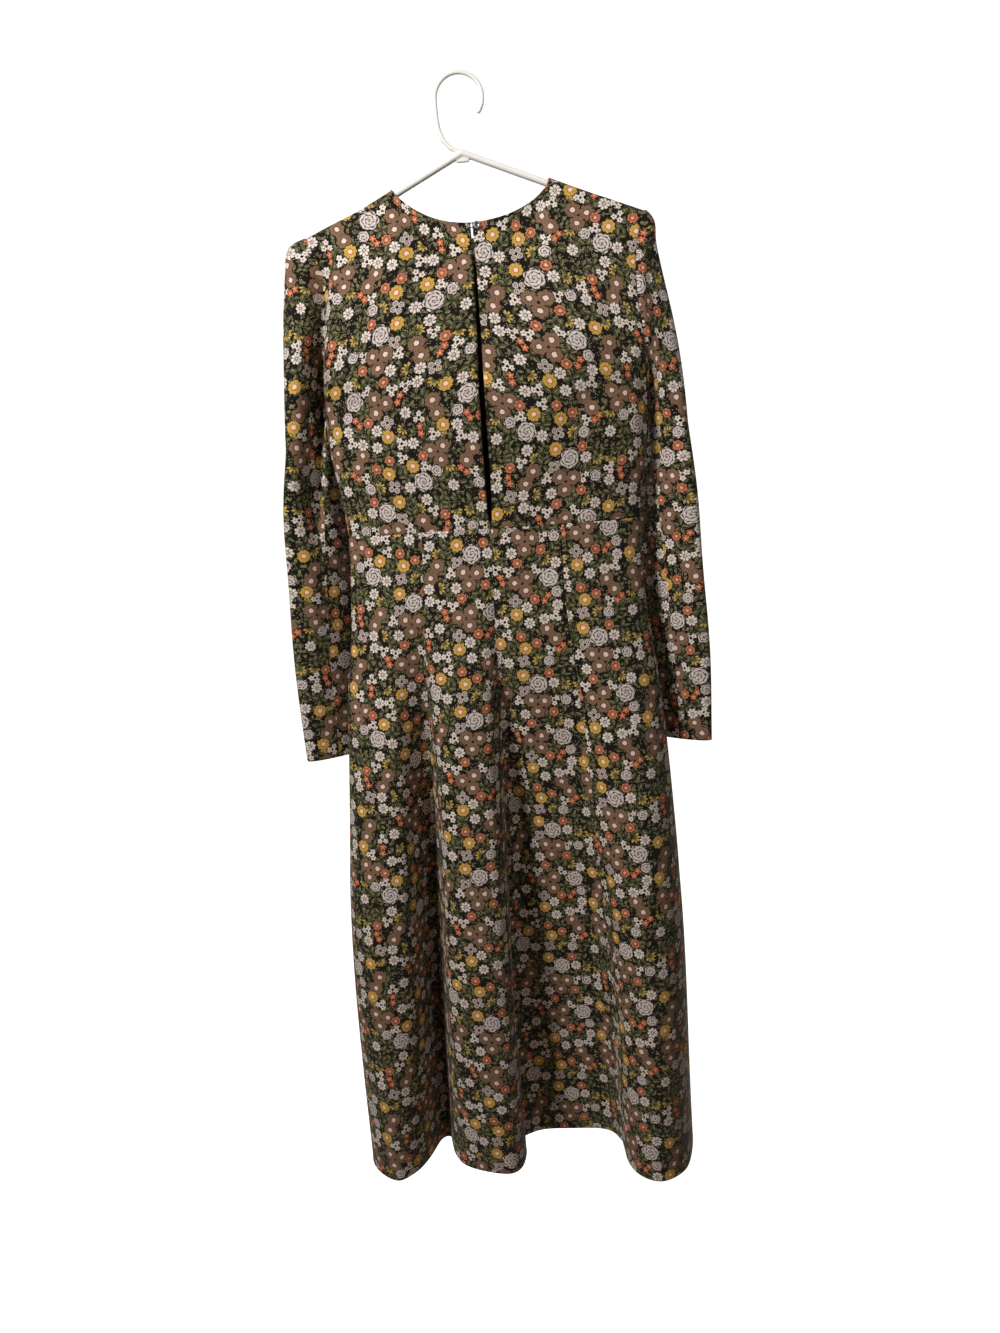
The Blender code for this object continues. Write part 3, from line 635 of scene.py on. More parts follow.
    def fans(self, colour):
        """Half-open bells with a pale edge."""
        radius, angle, _ = self.spot("bell")
        fan = self.bloom(radius, self.petals(angle, 9), 7.2, 0.66)
        fan = fan.minimum(angle.cos().times_plus(6.0, 1.8))
        return self.paint(colour, fan, srgb(104, 98, 58),
                          ((6.8 - radius).within(3.4, 1.2), srgb(208, 174, 92)))

    def flower(self, colour, flower):
        """One kind of flower from the table."""
        radius, angle, drawn = self.spot(flower.kind)
        if flower.ring:
            count, reach, farther = flower.ring
            if farther:
                one_more = drawn > 0.4
                count, reach = one_more + count, one_more.times_plus(farther, reach)
            radius, angle = self.polar(*self.ring_of(radius, angle, count, reach))
        face = flower.low
        if flower.streaks:
            streaks = self.petals(angle, flower.streaks) * flower.gain
            face = self.blend(streaks, face, flower.high)
        rings = [(((radius - middle).abs() if middle else radius).within(half, soft), paint)
                 for middle, half, soft, paint in flower.rings]
        petals = self.bloom(radius, self.petals(angle, flower.petals), flower.size, flower.dent)
        return self.paint(colour, petals, face, *rings)

    def rose(self, colour, name, size, turns):
        """A rose whose petals coil round its middle."""
        radius, angle, _ = self.spot(name)
        scallops = (angle.times_plus(2.5, radius * 0.55)).sin().abs()
        coil = (radius * (1 / turns) - angle * (1 / math.tau) + scallops * 0.34).fract()
        return self.paint(colour, self.bloom(radius, self.petals(angle, 6), size, 0.2),
                          self.blend(coil, WHITE, srgb(180, 166, 168)),
                          ((1.0 - coil).within(0.3, 0.16), srgb(74, 66, 66)),
                          (radius.within(1.0, 0.6), srgb(130, 116, 118)))

    def build(self, place):
        """Colour of the print at a place, from the lowest motifs to the highest."""
        self.motifs = lay_out()
        drawn_by_hand = self.noise(place, 0.5, 1.0).output("Color")
        place = self.vector("ADD", place, self.vector("MULTIPLY_ADD", drawn_by_hand,
                                                      (2.4, 2.4, 0.0), (-1.2, -1.2, 0.0)))
        self.place = place
        colour = self.fans(self.leaf_rings(self.fronds(self.litter())))
        for flower in FLOWERS:
            colour = self.flower(colour, flower)
        return self.rose(self.rose(colour, "bud", 6.9, 3.0), "rose", 11.6, 3.7)


def print_group():
    """The print as a group that takes a place on the flat cloth, in metres."""
    tree = bpy.data.node_groups.new("floral_print", "ShaderNodeTree")
    tree.interface.new_socket("Place", in_out="INPUT", socket_type="NodeSocketVector")
    tree.interface.new_socket("Colour", in_out="OUTPUT", socket_type="NodeSocketColor")
    shader = Print(tree)
    metres = shader.node("NodeGroupInput")
    place = shader.node("VectorMath", {0: metres, "Scale": 1000.0}, operation="SCALE")
    shader.node("NodeGroupOutput", {0: shader.build(place)})
    return tree


# --- finishes

def start_material(name):
    made = bpy.data.materials.new(name)
    made.use_nodes = True
    made.node_tree.nodes.clear()
    return made, Shader(made.node_tree)


def finish_material(shader, values):
    surface = shader.node("BsdfPrincipled", values)
    shader.node("OutputMaterial", {"Surface": surface})


def cloth_material(name, reverse_dim_and_shade=0.0):
    """Printed crepe whose fine grain darkens it a little in the grain's low places, as painted
    shade; on its wrong side a share of the print is lost in dark grey: a dimmer reverse, darkened
    as painted shade for the dress's inside.
    """
    _, shader = start_material(name)
    place = shader.node("UVMap", uv_map="cloth")
    colour = shader.node("Group", {0: place}, node_tree=bpy.data.node_groups["floral_print"])
    if reverse_dim_and_shade:
        # the dark grey stands partly for a dimmer reverse and partly for painted shade inside the
        # dress
        colour = shader.blend(reverse_dim_and_shade, colour, srgb(70, 64, 58))
    grain = shader.noise(place, 1400.0, 2.0, 0.6)
    # the grain darkens the colour where its bump is low: tone that varies at random, and painted
    # shade in the crepe's pits
    grain_tone_and_pit_shade = shader.blend(grain, srgb(226, 226, 226), srgb(255, 255, 255))
    finish_material(shader, {
        "Base Color": shader.blend(1.0, colour, grain_tone_and_pit_shade, "MULTIPLY"),
        "Roughness": shader.noise(place, 9.0).times_plus(0.16, 0.74),
        "Normal": shader.bump(0.35, 0.00025, grain),
        "Specular IOR Level": 0.1, "Sheen Weight": 0.03, "Sheen Roughness": 0.5})


def plastic_material(name):
    """White moulded plastic with a faint mould grain."""
    _, shader = start_material(name)
    place = shader.on_object()
    cloudy = shader.noise(place, 30.0)
    finish_material(shader, {
        "Base Color": shader.blend(cloudy, srgb(226, 225, 220), srgb(238, 237, 233)),
        "Roughness": cloudy.times_plus(0.12, 0.28),
        "Normal": shader.bump(0.15, 0.0002, shader.noise(place, 900.0)),
        "Coat Weight": 0.15})


def button_material(name, centre):
    """Glossy blue-grey rim round a dark dished middle."""
    _, shader = start_material(name)
    place = shader.on_object()
    away = shader.vector("SUBTRACT", place, tuple(centre))
    flat = shader.vector("MULTIPLY", away, (1.0, 0.0, 1.0))
    millimetres = shader.vector("LENGTH", flat, output=1) * 1000.0
    marble = shader.noise(place, 700.0, 3.0)
    rim = shader.blend(marble, srgb(84, 100, 110), srgb(122, 138, 146))
    finish_material(shader, {
        "Base Color": shader.blend(millimetres.within(2.3, 0.5), rim, srgb(26, 31, 36)),
        "Roughness": marble.times_plus(0.08, 0.14), "Coat Weight": 0.4})


def thread_material(name, colour, pitch):
    """Dark thread or tape with a fine twill of light and shade."""
    _, shader = start_material(name)
    place = shader.on_object()
    wave = shader.node("TexWave", {"Vector": place, "Scale": 1 / pitch, "Distortion": 0.6},
                       bands_direction="DIAGONAL").output("Fac")
    lit = (*(part * 2.6 for part in colour[:3]), 1.0)
    finish_material(shader, {
        "Base Color": shader.blend(wave, colour, lit),
        "Roughness": shader.noise(place, 2500.0).times_plus(0.25, 0.55),
        "Normal": shader.bump(0.5, 0.0002, wave)})


# --- objects

def add_object(name, data):
    """An object for a mesh, curve, lamp or camera, at the origin."""
    made = bpy.data.objects.new(name, data)
    bpy.context.scene.collection.objects.link(made)
    return made


def settle(bm, name, *finishes, smooth=True):
    """Make a finished bmesh an object with its finishes."""
    for face in bm.faces:
        face.smooth = smooth
    mesh = bpy.data.meshes.new(name)
    bm.to_mesh(mesh)
    bm.free()
    for finish in finishes:
        mesh.materials.append(bpy.data.materials[finish])
    return add_object(name, mesh)


def take_mesh(holder):
    """The mesh of an object with its modifiers applied; the object goes."""
    solid = holder.evaluated_get(bpy.context.evaluated_depsgraph_get())
    mesh = bpy.data.meshes.new_from_object(solid)
    bpy.data.objects.remove(holder)
    return mesh


def stand_for(piece, node):
    """Tie a finished piece to the frame and hide the node whose place it takes."""
    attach(piece, "root")
    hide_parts(node)


def tube(points, radius, sides, closed=False):
    """Mesh of a round tube along a line of points."""
    curve = bpy.data.curves.new("tube", "CURVE")
    curve.dimensions = "3D"
    curve.bevel_depth = radius
    curve.bevel_resolution = sides
    curve.use_fill_caps = True
    spline = curve.splines.new("POLY")
    spline.points.add(len(points) - 1)
    for spot, point in zip(spline.points, points):
        spot.co = (*point, 1.0)
    spline.use_cyclic_u = closed
    mesh = take_mesh(add_object("tube", curve))
    bpy.data.curves.remove(curve)
    return mesh


def bend(centre, radius, start, end, count):
    """Points along an arc in the hanger's plane, angles in degrees from +X."""
    return [Vector((centre[0] + radius * math.cos(a), 0.0, centre[1] + radius * math.sin(a)))
            for a in np.radians(np.linspace(start, end, count + 1))]


# --- cloth pieces

Edge = namedtuple("Edge", "kind turned")    # "seam", "turned" or "plain", and how far turned in
PLAIN = Edge("plain", 0.0)
SEWN = Edge("seam", 0.0)
ROLL = 0.0006               # how deep a sewn edge rolls in
ROLL_REACH = 0.0055         # over this distance from the seam
ALLOWANCE = 0.0045          # of cloth turned in along a seam
TURN_GAP = 0.0017           # between the two layers of a turned edge
NEAR_EDGE = np.array([0.0, 0.0012, 0.0030])
FINE = 0.002                # spacing of the grid that a piece's form is read from
SOFTENING = 24              # rounds
UV_START = (8 * TILE[0] / 1000, 8 * TILE[1] / 1000)
ABOVE_HEM = -8              # the lowest row that is clear of a sleeve's turned hem
SLEEVE_FACE = (0.15, 0.35)  # where a sleeve's faces lie flat, in turns from its outer line


def spread(start, end, length, spacing, first, last):
    """Parameters along one side of a piece, closer at its edges, and each one's inset."""
    count = max(4, round((length - 2 * ROLL_REACH) / spacing))
    even = np.linspace(ROLL_REACH, length - ROLL_REACH, count + 1)
    run = np.concatenate([NEAR_EDGE, even, (length - NEAR_EDGE)[::-1]])
    inset = np.zeros_like(run)

    def turned(edge):
        if edge.kind == "seam":
            return np.array([0.0, 0.0]), np.array([ALLOWANCE * 0.4, ALLOWANCE])
        return (np.array([0.0009, 0.0030, edge.turned * 0.55, edge.turned]),
                np.array([TURN_GAP * 0.85, TURN_GAP, TURN_GAP, TURN_GAP]))

    if first.kind != "plain":
        steps, insets = turned(first)
        run, inset = np.concatenate([steps[::-1], run]), np.concatenate([insets[::-1], inset])
    if last.kind != "plain":
        steps, insets = turned(last)
        run, inset = np.concatenate([run, length - steps]), np.concatenate([inset, insets])
    return mix(start, end, run / length), inset, run


def crease_depth(points, side_blend=0.016):
    """How far all the creases move each point along Y."""
    moved = np.zeros(points.shape[:-1])
    x, y, z = points[..., 0], points[..., 1], points[..., 2]
    for face, c in CREASES:
        length = math.hypot(c.x1 - c.x0, c.z1 - c.z0)
        run_x, run_z = (c.x1 - c.x0) / length, (c.z1 - c.z0) / length
        along = np.clip(((x - c.x0) * run_x + (z - c.z0) * run_z) / length, 0.0, 1.0)
        bow = c.bow * length * 4 * along * (1 - along)
        off = (z - c.z0) * run_x - (x - c.x0) * run_z - bow
        off *= np.sign(-run_z) if abs(run_z) > abs(run_x) else 1.0
        across = np.exp(-(off / np.where(off < 0, c.left, c.right)) ** 2)
        fade = np.sin(math.pi * along) ** 0.7
        moved += face * c.depth * across * fade * ease(0.5 + face * y / side_blend)
    return moved


class Ground:
    """A fine grid of points over a surface, softened, with its outward normals.

    Its outside is told from plain_row, which has no folds: the first row or the last one.
    """

    def __init__(self, surface, columns, rows, ring, plain_row):
        self.low = np.array([columns[0], rows[0]])
        sides = [(start, end, round(length / FINE)) for start, end, length in (columns, rows)]
        self.step = np.array([(end - start) / count for start, end, count in sides])
        u, v = np.meshgrid(*(np.linspace(start, end, count + 1) for start, end, count in sides))
        points = surface(u, v)
        for _ in range(SOFTENING):
            around = points[:-2, 1:-1] + points[2:, 1:-1] + points[1:-1, :-2] + points[1:-1, 2:]
            points[1:-1, 1:-1] = mix(points[1:-1, 1:-1], around / 4, 0.5)
        across, down = np.gradient(points, axis=1), np.gradient(points, axis=0)
        if ring:
            across[:, 0] = across[:, -1] = points[:, 1] - points[:, -2]
        normals = np.cross(across, down)
        core = points[plain_row].mean(axis=0) if ring else 0.0
        outward = ((points[plain_row] - core) * normals[plain_row])[..., :2].sum()
        self.turned_over = outward < 0
        if self.turned_over:
            normals = -normals
        self.points = points
        self.normals = normals / (np.linalg.norm(normals, axis=-1, keepdims=True) + 1e-12)

    def read(self, grid, u, v):
        """Values of one of the grids at given places."""
        x, y = (u - self.low[0]) / self.step[0], (v - self.low[1]) / self.step[1]
        i = np.clip(y.astype(int), 0, grid.shape[0] - 2)
        j = np.clip(x.astype(int), 0, grid.shape[1] - 2)
        x, y = (x - j)[..., None], (y - i)[..., None]
        upper, lower = (mix(grid[k, j], grid[k, j + 1], x) for k in (i, i + 1))
        return mix(upper, lower, y)


def relaxed(flat, points, rounds=1600, pull=0.11):
    """Shift a flat map's places until their distances come near those on the cloth."""
    whole, edge, rest = slice(None), slice(None, -1), slice(1, None)
    pairs = (((whole, edge), (whole, rest)), ((edge, whole), (rest, whole)),
             ((edge, edge), (rest, rest)), ((edge, rest), (rest, edge)))
    lengths = [np.linalg.norm(points[b] - points[a], axis=-1) for a, b in pairs]
    for _ in range(rounds):
        move = np.zeros_like(flat)
        for (a, b), length in zip(pairs, lengths):
            gap = flat[b] - flat[a]
            share = pull * (1 - length / (np.linalg.norm(gap, axis=-1) + 1e-5))
            move[a] += gap * share[..., None]
            move[b] -= gap * share[..., None]
        flat = flat + move
    return flat[..., 0], flat[..., 1]


def summed(steps):
    """Running sum along each row, from 0."""
    return np.concatenate([np.zeros((len(steps), 1)), np.cumsum(steps, axis=1)], axis=1)


def sleeve_map(points, us):
    """Flat places of a sleeve, opened along its inner line and eased at its head."""
    middle = len(us) // 2
    step = np.diff(points, axis=1)
    outer = points[:, middle]
    lower = outer[len(outer) // 2:]
    side = np.sign(lower[:, 0].mean())
    outer_line = np.polyval(np.polyfit(lower[:, 2], lower[:, 0], 1), points[..., 2])
    inward = side * (outer_line - points[..., 0])
    path = summed(np.hypot(step[..., 0], step[..., 1]))
    path = np.abs(path - path[:, middle:middle + 1])
    for half in (us < 0, us > 0):
        level = half & (np.abs(us) > SLEEVE_FACE[0]) & (np.abs(us) < SLEEVE_FACE[1])
        lean = (inward - path)[:, level].mean(axis=1)
        path[:, half] += (lean - lean[ABOVE_HEM])[:, None] * ease(np.abs(us[half]) / 0.22)
    run = np.diff(outer, axis=0)[::-1]
    extra = np.cumsum(np.linalg.norm(run, axis=-1) - np.abs(run[:, 2]))
    extra = np.concatenate([[0.0], extra])[::-1]
    down = -points[..., 2] - extra[:, None] * np.exp(-(us / 0.09) ** 2)
    return relaxed(stack(-side * np.sign(us) * path, down, 0.0), points)


def flat_map(points, middle):
    """Each point's place on the flat cloth, in metres: across from the middle column, and down."""
    down = -points[..., 2]
    length = np.linalg.norm(np.diff(points, axis=1), axis=-1)
    level = length ** 2 - np.diff(down, axis=1) ** 2
    across = summed(np.sqrt(np.maximum(level, (0.4 * length) ** 2)))
    return across - across[:, middle:middle + 1], down


def rolled(run, length, first, last):
    """How far a sewn edge rolls in at each place of a run between two edges."""
    low = np.exp(-(run / (ROLL_REACH * 0.5)) ** 2) * (first.kind == "seam")
    high = np.exp(-((length - run) / (ROLL_REACH * 0.5)) ** 2) * (last.kind == "seam")
    return ROLL * (low + high)


def cloth_piece(name, surface, columns, rows, edges, detail,
                ring=False, plain_row=-1, shift=(0.0, 0.0), tuck=0.0):
    """A sheet of cloth over a surface, with its creases, rolled seams and turned edges.

    columns and rows are (start, end, length); edges are those at the first and last column
    and the first and last row; detail(u, v, points) gives an extra height; tuck moves the
    turned-in cloth of the first row along X, under the next piece.
    """
    settings = bpy.context.scene.maxi_dress
    us, u_inset, u_run = spread(*columns, settings.spacing, *edges[:2])
    vs, v_inset, v_run = spread(*rows, settings.spacing, *edges[2:])
    if ring:
        us = np.linspace(columns[0], columns[1], round(columns[2] / settings.spacing) + 1)
        u_inset, u_run = np.zeros_like(us), (us - columns[0]) * columns[2]
    ground = Ground(surface, columns, rows, ring, plain_row)
    u, v = np.meshgrid(us, vs)
    points, normals = ground.read(ground.points, u, v), ground.read(ground.normals, u, v)
    points[..., 1] += crease_depth(points)
    height = detail(u, v, points) - rolled(u_run, columns[2], *edges[:2])[None, :]
    height = height - rolled(v_run, rows[2], *edges[2:])[:, None]
    placed = points + normals * (height - u_inset[None, :] - v_inset[:, None])[..., None]
    placed[..., 0] += (tuck * v_inset * (v_run < 1e-6))[:, None]
    across, down = sleeve_map(points, us) if ring else flat_map(points, len(us) // 2)
    uv = stack(across + shift[0] + UV_START[0], down + shift[1] + UV_START[1], 0.0)[..., :2]

    bm = bmesh.new()
    bmesh.ops.create_grid(bm, x_segments=len(us) - 1, y_segments=len(vs) - 1, size=0.5)
    layer = bm.loops.layers.uv.new("cloth")
    where = {vert: grid_place(vert, len(us), len(vs)) for vert in bm.verts}
    for face in bm.faces:
        for loop in face.loops:
            loop[layer].uv = uv[where[loop.vert]]
    for vert, spot in where.items():
        vert.co = placed[spot]
    if ring:
        bmesh.ops.remove_doubles(bm, verts=bm.verts, dist=1e-6)
    if not ground.turned_over:
        bmesh.ops.reverse_faces(bm, faces=bm.faces)
    piece = settle(bm, name, "floral_crepe_right_side", "floral_crepe_wrong_side")
    wall = piece.modifiers.new("cloth", "SOLIDIFY")
    wall.thickness = settings.cloth
    wall.offset = 0.0
    wall.use_even_offset = False
    wall.material_offset = 1
    return piece


def grid_place(vert, columns, rows):
    """Row and column of a vertex in a new grid, its first row at the top."""
    return round((0.5 - vert.co.y) * (rows - 1)), round((vert.co.x + 0.5) * (columns - 1))


def hang(piece, node, flat, area, rests_on):
    """Tie a cloth piece to the frame in place of its node; the size that it was cut to is not used.
    """
    stand_for(piece, node)
    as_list(rests_on)


def ripple(points, size, length, seed, waves=5):
    """A slow unevenness of hanging cloth, as the sum of a few long waves."""
    draw = np.random.default_rng(seed)
    total = 0.0
    for _ in range(waves):
        across, down, start = (draw.uniform(*span) for span in ((0.5, 1.3), (0.25, 0.8), (0, 6.28)))
        along = points[..., 0] * across + draw.choice((-1, 1)) * points[..., 2] * down
        total = total + np.sin(math.tau / length * along + start)
    return total * size / waves


class CrepeSettings(bpy.types.PropertyGroup):
    """Sizes of the dress's cloth and light that a user may change."""

    cloth: bpy.props.FloatProperty(
        name="Cloth thickness", description="Thickness of the cloth's wall", default=CLOTH,
        min=0.0004, max=0.003, precision=4, unit="LENGTH")
    spacing: bpy.props.FloatProperty(
        name="Grid spacing", description="Distance between the cloth's grid lines",
        default=0.0048, min=0.003, max=0.02, precision=4, unit="LENGTH")
    ripple: bpy.props.FloatProperty(
        name="Ripple", description="Height of the cloth's slow unevenness", default=0.0011,
        min=0.0, max=0.004, precision=4, unit="LENGTH")
    key: bpy.props.FloatProperty(
        name="Light", description="Power of the key lamp, which the others follow",
        default=33.5, min=0.0, unit="POWER")
    floor_drop: bpy.props.FloatProperty(
        name="Floor", description="From the rail down to the floor", default=1.62, unit="LENGTH")


# --- operators

class MAXIDRESS_OT_materials(bpy.types.Operator):
    """Make the printed crepe, plastic and thread finishes"""

    bl_idname = "maxi_dress.materials"
    bl_label = "Finishes"

    def execute(self, context):
        print_group()
        cloth_material("floral_crepe_right_side")
        # wrong side: its print is mixed with dark grey, partly a dimmer reverse and partly painted
        # shade
        cloth_material("floral_crepe_wrong_side", reverse_dim_and_shade=0.62)
        plastic_material("moulded_white_plastic")
        thread_material("spun_black_cord", srgb(14, 13, 13), 0.004)
        thread_material("woven_black_coil", srgb(13, 13, 14), 0.006)
        return {"FINISHED"}


class MAXIDRESS_OT_bodice(bpy.types.Operator):
    """Make the two bodice backs and the bodice front"""

    bl_idname = "maxi_dress.bodice"
    bl_label = "Bodice"

    def execute(self, context):
        size = context.scene.maxi_dress.ripple

        def detail(seed):
            return lambda u, v, points: ripple(points, size, 0.16, seed) * ease(v / 0.15)

        for name, side, seed in (("bodice_back_left", LEFT, 3), ("bodice_back_right", RIGHT, 4)):
            piece = cloth_piece(
                name, lambda u, v, side=side: bodice_surface(BACK, side, u, v),
                (0.0, 1.0, 0.200), (0.0, 1.0, 0.350), (Edge("turned", 0.008), SEWN, PLAIN, SEWN),
                detail(seed), shift=(0.031 * seed, 0.047 * seed))
            hang(piece, name, (0.215, 0.405), 0.066, ["hanger"])
        piece = cloth_piece(
            "bodice_front",
            lambda u, v: bodice_surface(FRONT, np.where(u < 0, LEFT, RIGHT), np.abs(u), v),
            (-1.0, 1.0, 0.400), (0.0, 1.0, 0.345), (SEWN, SEWN, PLAIN, SEWN), detail(5),
            shift=(0.02, 0.09))
        hang(piece, "bodice_front", (0.430, 0.405), 0.130, ["hanger"])
        return {"FINISHED"}


class MAXIDRESS_OT_skirt(bpy.types.Operator):
    """Make the four back gores and the front skirt"""

    bl_idname = "maxi_dress.skirt"
    bl_label = "Skirt"

    def execute(self, context):
        size = context.scene.maxi_dress.ripple
        centre, side = ((0.175, 0.845), 0.104), ((0.225, 0.845), 0.135)
        round_back = 1.0 - GORE_PLACE
        gores = (
            ("skirt_back_centre_right", 0.0, GORE_PLACE, 0.145, 6, *centre),
            ("skirt_back_side_right", GORE_PLACE, 0.25, 0.170, 7, *side),
            ("skirt_back_side_left", 0.75, round_back, 0.170, 8, *side),
            ("skirt_back_centre_left", round_back, 1.0 - 1e-9, 0.145, 9, *centre),
            ("skirt_front", 0.25, 0.75, 0.560, 10, (0.720, 0.850), 0.440),
        )
        for name, start, end, width, seed, flat, area in gores:
            piece = cloth_piece(
                name, skirt_surface, (start, end, width), (WAIST, HEM, HEM - WAIST),
                (SEWN, SEWN, SEWN, Edge("turned", 0.020)),
                lambda u, v, points, seed=seed: ripple(points, size, 0.22, seed),
                plain_row=0, shift=(0.037 * seed, 0.053 * seed))
            hang(piece, name, flat, area, ["bodice_front"])
        return {"FINISHED"}


class MAXIDRESS_OT_sleeves(bpy.types.Operator):
    """Make the two sleeves, each a tube with its cap eased into the armhole"""

    bl_idname = "maxi_dress.sleeves"
    bl_label = "Sleeves"

    def execute(self, context):
        size = context.scene.maxi_dress.ripple
        for name, side, seed in (("sleeve_left", LEFT, 12), ("sleeve_right", RIGHT, 13)):
            def detail(u, v, points, seed=seed):
                fall = np.clip(v + 1, 0, None)
                wave = np.cos(math.tau * GATHERS * u)
                gathers = GATHER * wave * np.exp(-(fall / GATHER_FALL) ** 2)
                puff = PUFF * np.exp(-((fall - PUFF_FALL) / PUFF_SPREAD) ** 2)
                head = (gathers + puff) * ((1 + np.cos(math.tau * u)) / 2) ** 2
                return ripple(points, size, 0.13, seed) * ease(fall / 0.3) + head
            piece = cloth_piece(
                name, lambda u, v, side=side: sleeve_surface(side, u, v),
                (-0.5, 0.5, 0.300), (-1.0, 1.0, 0.600),
                (PLAIN, PLAIN, SEWN, Edge("turned", 0.015)),
                detail, ring=True, shift=(0.041 * seed, 0.029 * seed), tuck=-1.8 * side)
            hang(piece, name, (0.420, 0.640), 0.165, ["bodice_front"])
        return {"FINISHED"}


class MAXIDRESS_OT_hanger(bpy.types.Operator):
    """Make the tubular hanger with its hook, moulded in one piece"""

    bl_idname = "maxi_dress.hanger"
    bl_label = "Hanger"

    def execute(self, context):
        end_x = ARM_REACH - HANGER_BEND
        touch_x = end_x + HANGER_BEND * math.sin(ARM_SLOPE)
        bend_z = -APEX - touch_x * math.tan(ARM_SLOPE) - HANGER_BEND * math.cos(ARM_SLOPE)
        apex = Vector((0.0, 0.0, -APEX))
        right = bend((end_x, bend_z), HANGER_BEND, 90 - math.degrees(ARM_SLOPE), 0, 10)
        right += bend((end_x, -BAR + HANGER_BEND), HANGER_BEND, -20, -90, 10)
        left = [Vector((-p.x, 0.0, p.z)) for p in reversed(right)]
        roll = Matrix.Rotation(-HANGER_ROLL, 3, "Y")
        outline = [apex + roll @ (point - apex) for point in [apex] + right + left]
        hook = bend((0.0, -HOOK_INNER), HOOK_INNER + HOOK_WIRE, HOOK_TIP, 180, 40)
        hook += [Vector((x, 0.0, z)) for x, z in HOOK_NECK]
        hook.append(Vector((HOOK_FOOT[0], 0.0, -APEX - HOOK_FOOT[1])))

        bm = bmesh.new()
        for mesh in (tube(outline, TUBE, 6, closed=True), tube(hook, HOOK_WIRE, 6)):
            bm.from_mesh(mesh)
            bpy.data.meshes.remove(mesh)
        bmesh.ops.create_uvsphere(bm, u_segments=16, v_segments=10, radius=HOOK_WIRE,
                                  matrix=Matrix.Translation(hook[0]))
        bmesh.ops.create_cube(bm, size=1.0, matrix=Matrix.LocRotScale(
            Vector((0.0, 0.0, -APEX - LUG[2] / 2)), None, Vector(LUG)))
        rough = settle(bm, "hanger_rough")
        joined = rough.modifiers.new("one moulding", "REMESH")
        joined.mode = "VOXEL"
        joined.voxel_size = VOXEL
        joined.use_smooth_shade = True
        even = rough.modifiers.new("even", "SMOOTH")
        even.factor, even.iterations = 0.5, 4
        bm = bmesh.new()
        bm.from_mesh(take_mesh(rough))
        stand_for(settle(bm, "hanger_moulding", "moulded_white_plastic"), "hanger")
        return {"FINISHED"}


class MAXIDRESS_OT_closures(bpy.types.Operator):
    """Make the nape's button with its cord loop, and the zip below the slit"""

    bl_idname = "maxi_dress.closures"
    bl_label = "Button, loop and zip"

    def execute(self, context):
        nape = bodice_surface(BACK, RIGHT, np.zeros(1), np.zeros(1))[0]
        cloth_y = -BODICE[0].depth - CLOTH / 2 - SEAM
        centre = Vector((BODICE[0].shift + BUTTON_ASIDE, cloth_y, nape[2] - BUTTON_DROP))
        self.add_button(centre)
        self.add_loop(centre)
        self.add_zip()
        return {"FINISHED"}

    def add_button(self, centre):
        """A button with a raised rim and a dished middle, on its shank."""
        button_material("button_rim_and_dish", centre)
        outside = -SHANK - BUTTON_THICK
        profile = [(0.0, outside + 0.0007), (0.0012, outside + 0.0006), (0.0020, outside + 0.0004),
                   (0.0026, outside + 0.0001), (0.0031, outside), (0.0036, outside + 0.0001),
                   (0.00388, outside + 0.00045), (BUTTON_RADIUS, outside + 0.0009),
                   (0.00385, outside + 0.0013), (0.0034, -SHANK), (0.0016, -SHANK + 0.0001),
                   (SHANK_RADIUS, -SHANK + 0.0004), (SHANK_RADIUS, 0.0), (0.0, 0.0)]
        bm = bmesh.new()
        verts = [bm.verts.new((r, y, 0.0)) for r, y in profile]
        edges = [bm.edges.new(pair) for pair in zip(verts, verts[1:])]
        bmesh.ops.spin(bm, geom=verts + edges, axis=(0, 1, 0), cent=(0, 0, 0),
                       angle=math.tau, steps=48, use_merge=True)
        bmesh.ops.remove_doubles(bm, verts=bm.verts, dist=1e-6)
        bmesh.ops.recalc_face_normals(bm, faces=bm.faces)
        bmesh.ops.translate(bm, verts=bm.verts, vec=centre)
        button = settle(bm, "button_disc", "button_rim_and_dish")
        stand_for(button, "nape_button")

    def add_loop(self, centre):
        """A cord that goes round the shank and back into the left back's edge."""
        reach = SHANK_RADIUS + LOOP_CORD + SEAM
        x_end = BODICE[0].shift - LOOP_END
        route = [centre + Vector((reach * math.sin(a), -LOOP_CORD, reach * math.cos(a)))
                 for a in np.linspace(0.0, math.pi, 20)]
        for x in (mix(x_end, centre.x, 0.5), x_end):
            ends = [Vector((x, centre.y - LOOP_CORD, centre.z + up))
                    for up in (LOOP_SPREAD, -LOOP_SPREAD)]
            route = [ends[0], *route, ends[1]]
        bm = bmesh.new()
        bm.from_mesh(tube(route, LOOP_CORD, 4))
        stand_for(settle(bm, "loop_cord", "spun_black_cord"), "button_loop")

    def add_zip(self):
        """The closed coil on its tape, along the centre-back seam."""
        drops = np.linspace(ZIP_TOP, ZIP_END, ZIP_TEETH)
        places = np.array([-ZIP_SPREAD, 0.0, ZIP_SPREAD])
        at = skirt_surface(places[None, :], drops[:, None])
        at[..., 1] += crease_depth(at)
        normals = np.cross(np.gradient(at, axis=1), np.gradient(at, axis=0))
        normals *= np.sign(normals[..., 1:2]) / np.linalg.norm(normals, axis=-1, keepdims=True)
        at = at + normals * ZIP_OUT[0]
        bm = bmesh.new()
        bmesh.ops.create_grid(bm, x_segments=2, y_segments=ZIP_TEETH - 1, size=0.5)
        for vert in bm.verts:
            vert.co = at[grid_place(vert, len(places), ZIP_TEETH)]
        bmesh.ops.solidify(bm, geom=bm.faces[:], thickness=ZIP_TAPE)
        for middle in at[:, 1] + normals[:, 1] * ZIP_OUT[1]:
            bmesh.ops.create_cube(bm, size=1.0, matrix=Matrix.LocRotScale(
                Vector(middle), None, Vector(ZIP_TOOTH)))
        coil = settle(bm, "zip_coil", "woven_black_coil", smooth=False)
        stand_for(coil, "back_zip")


# --- the stage, in metres from the rail

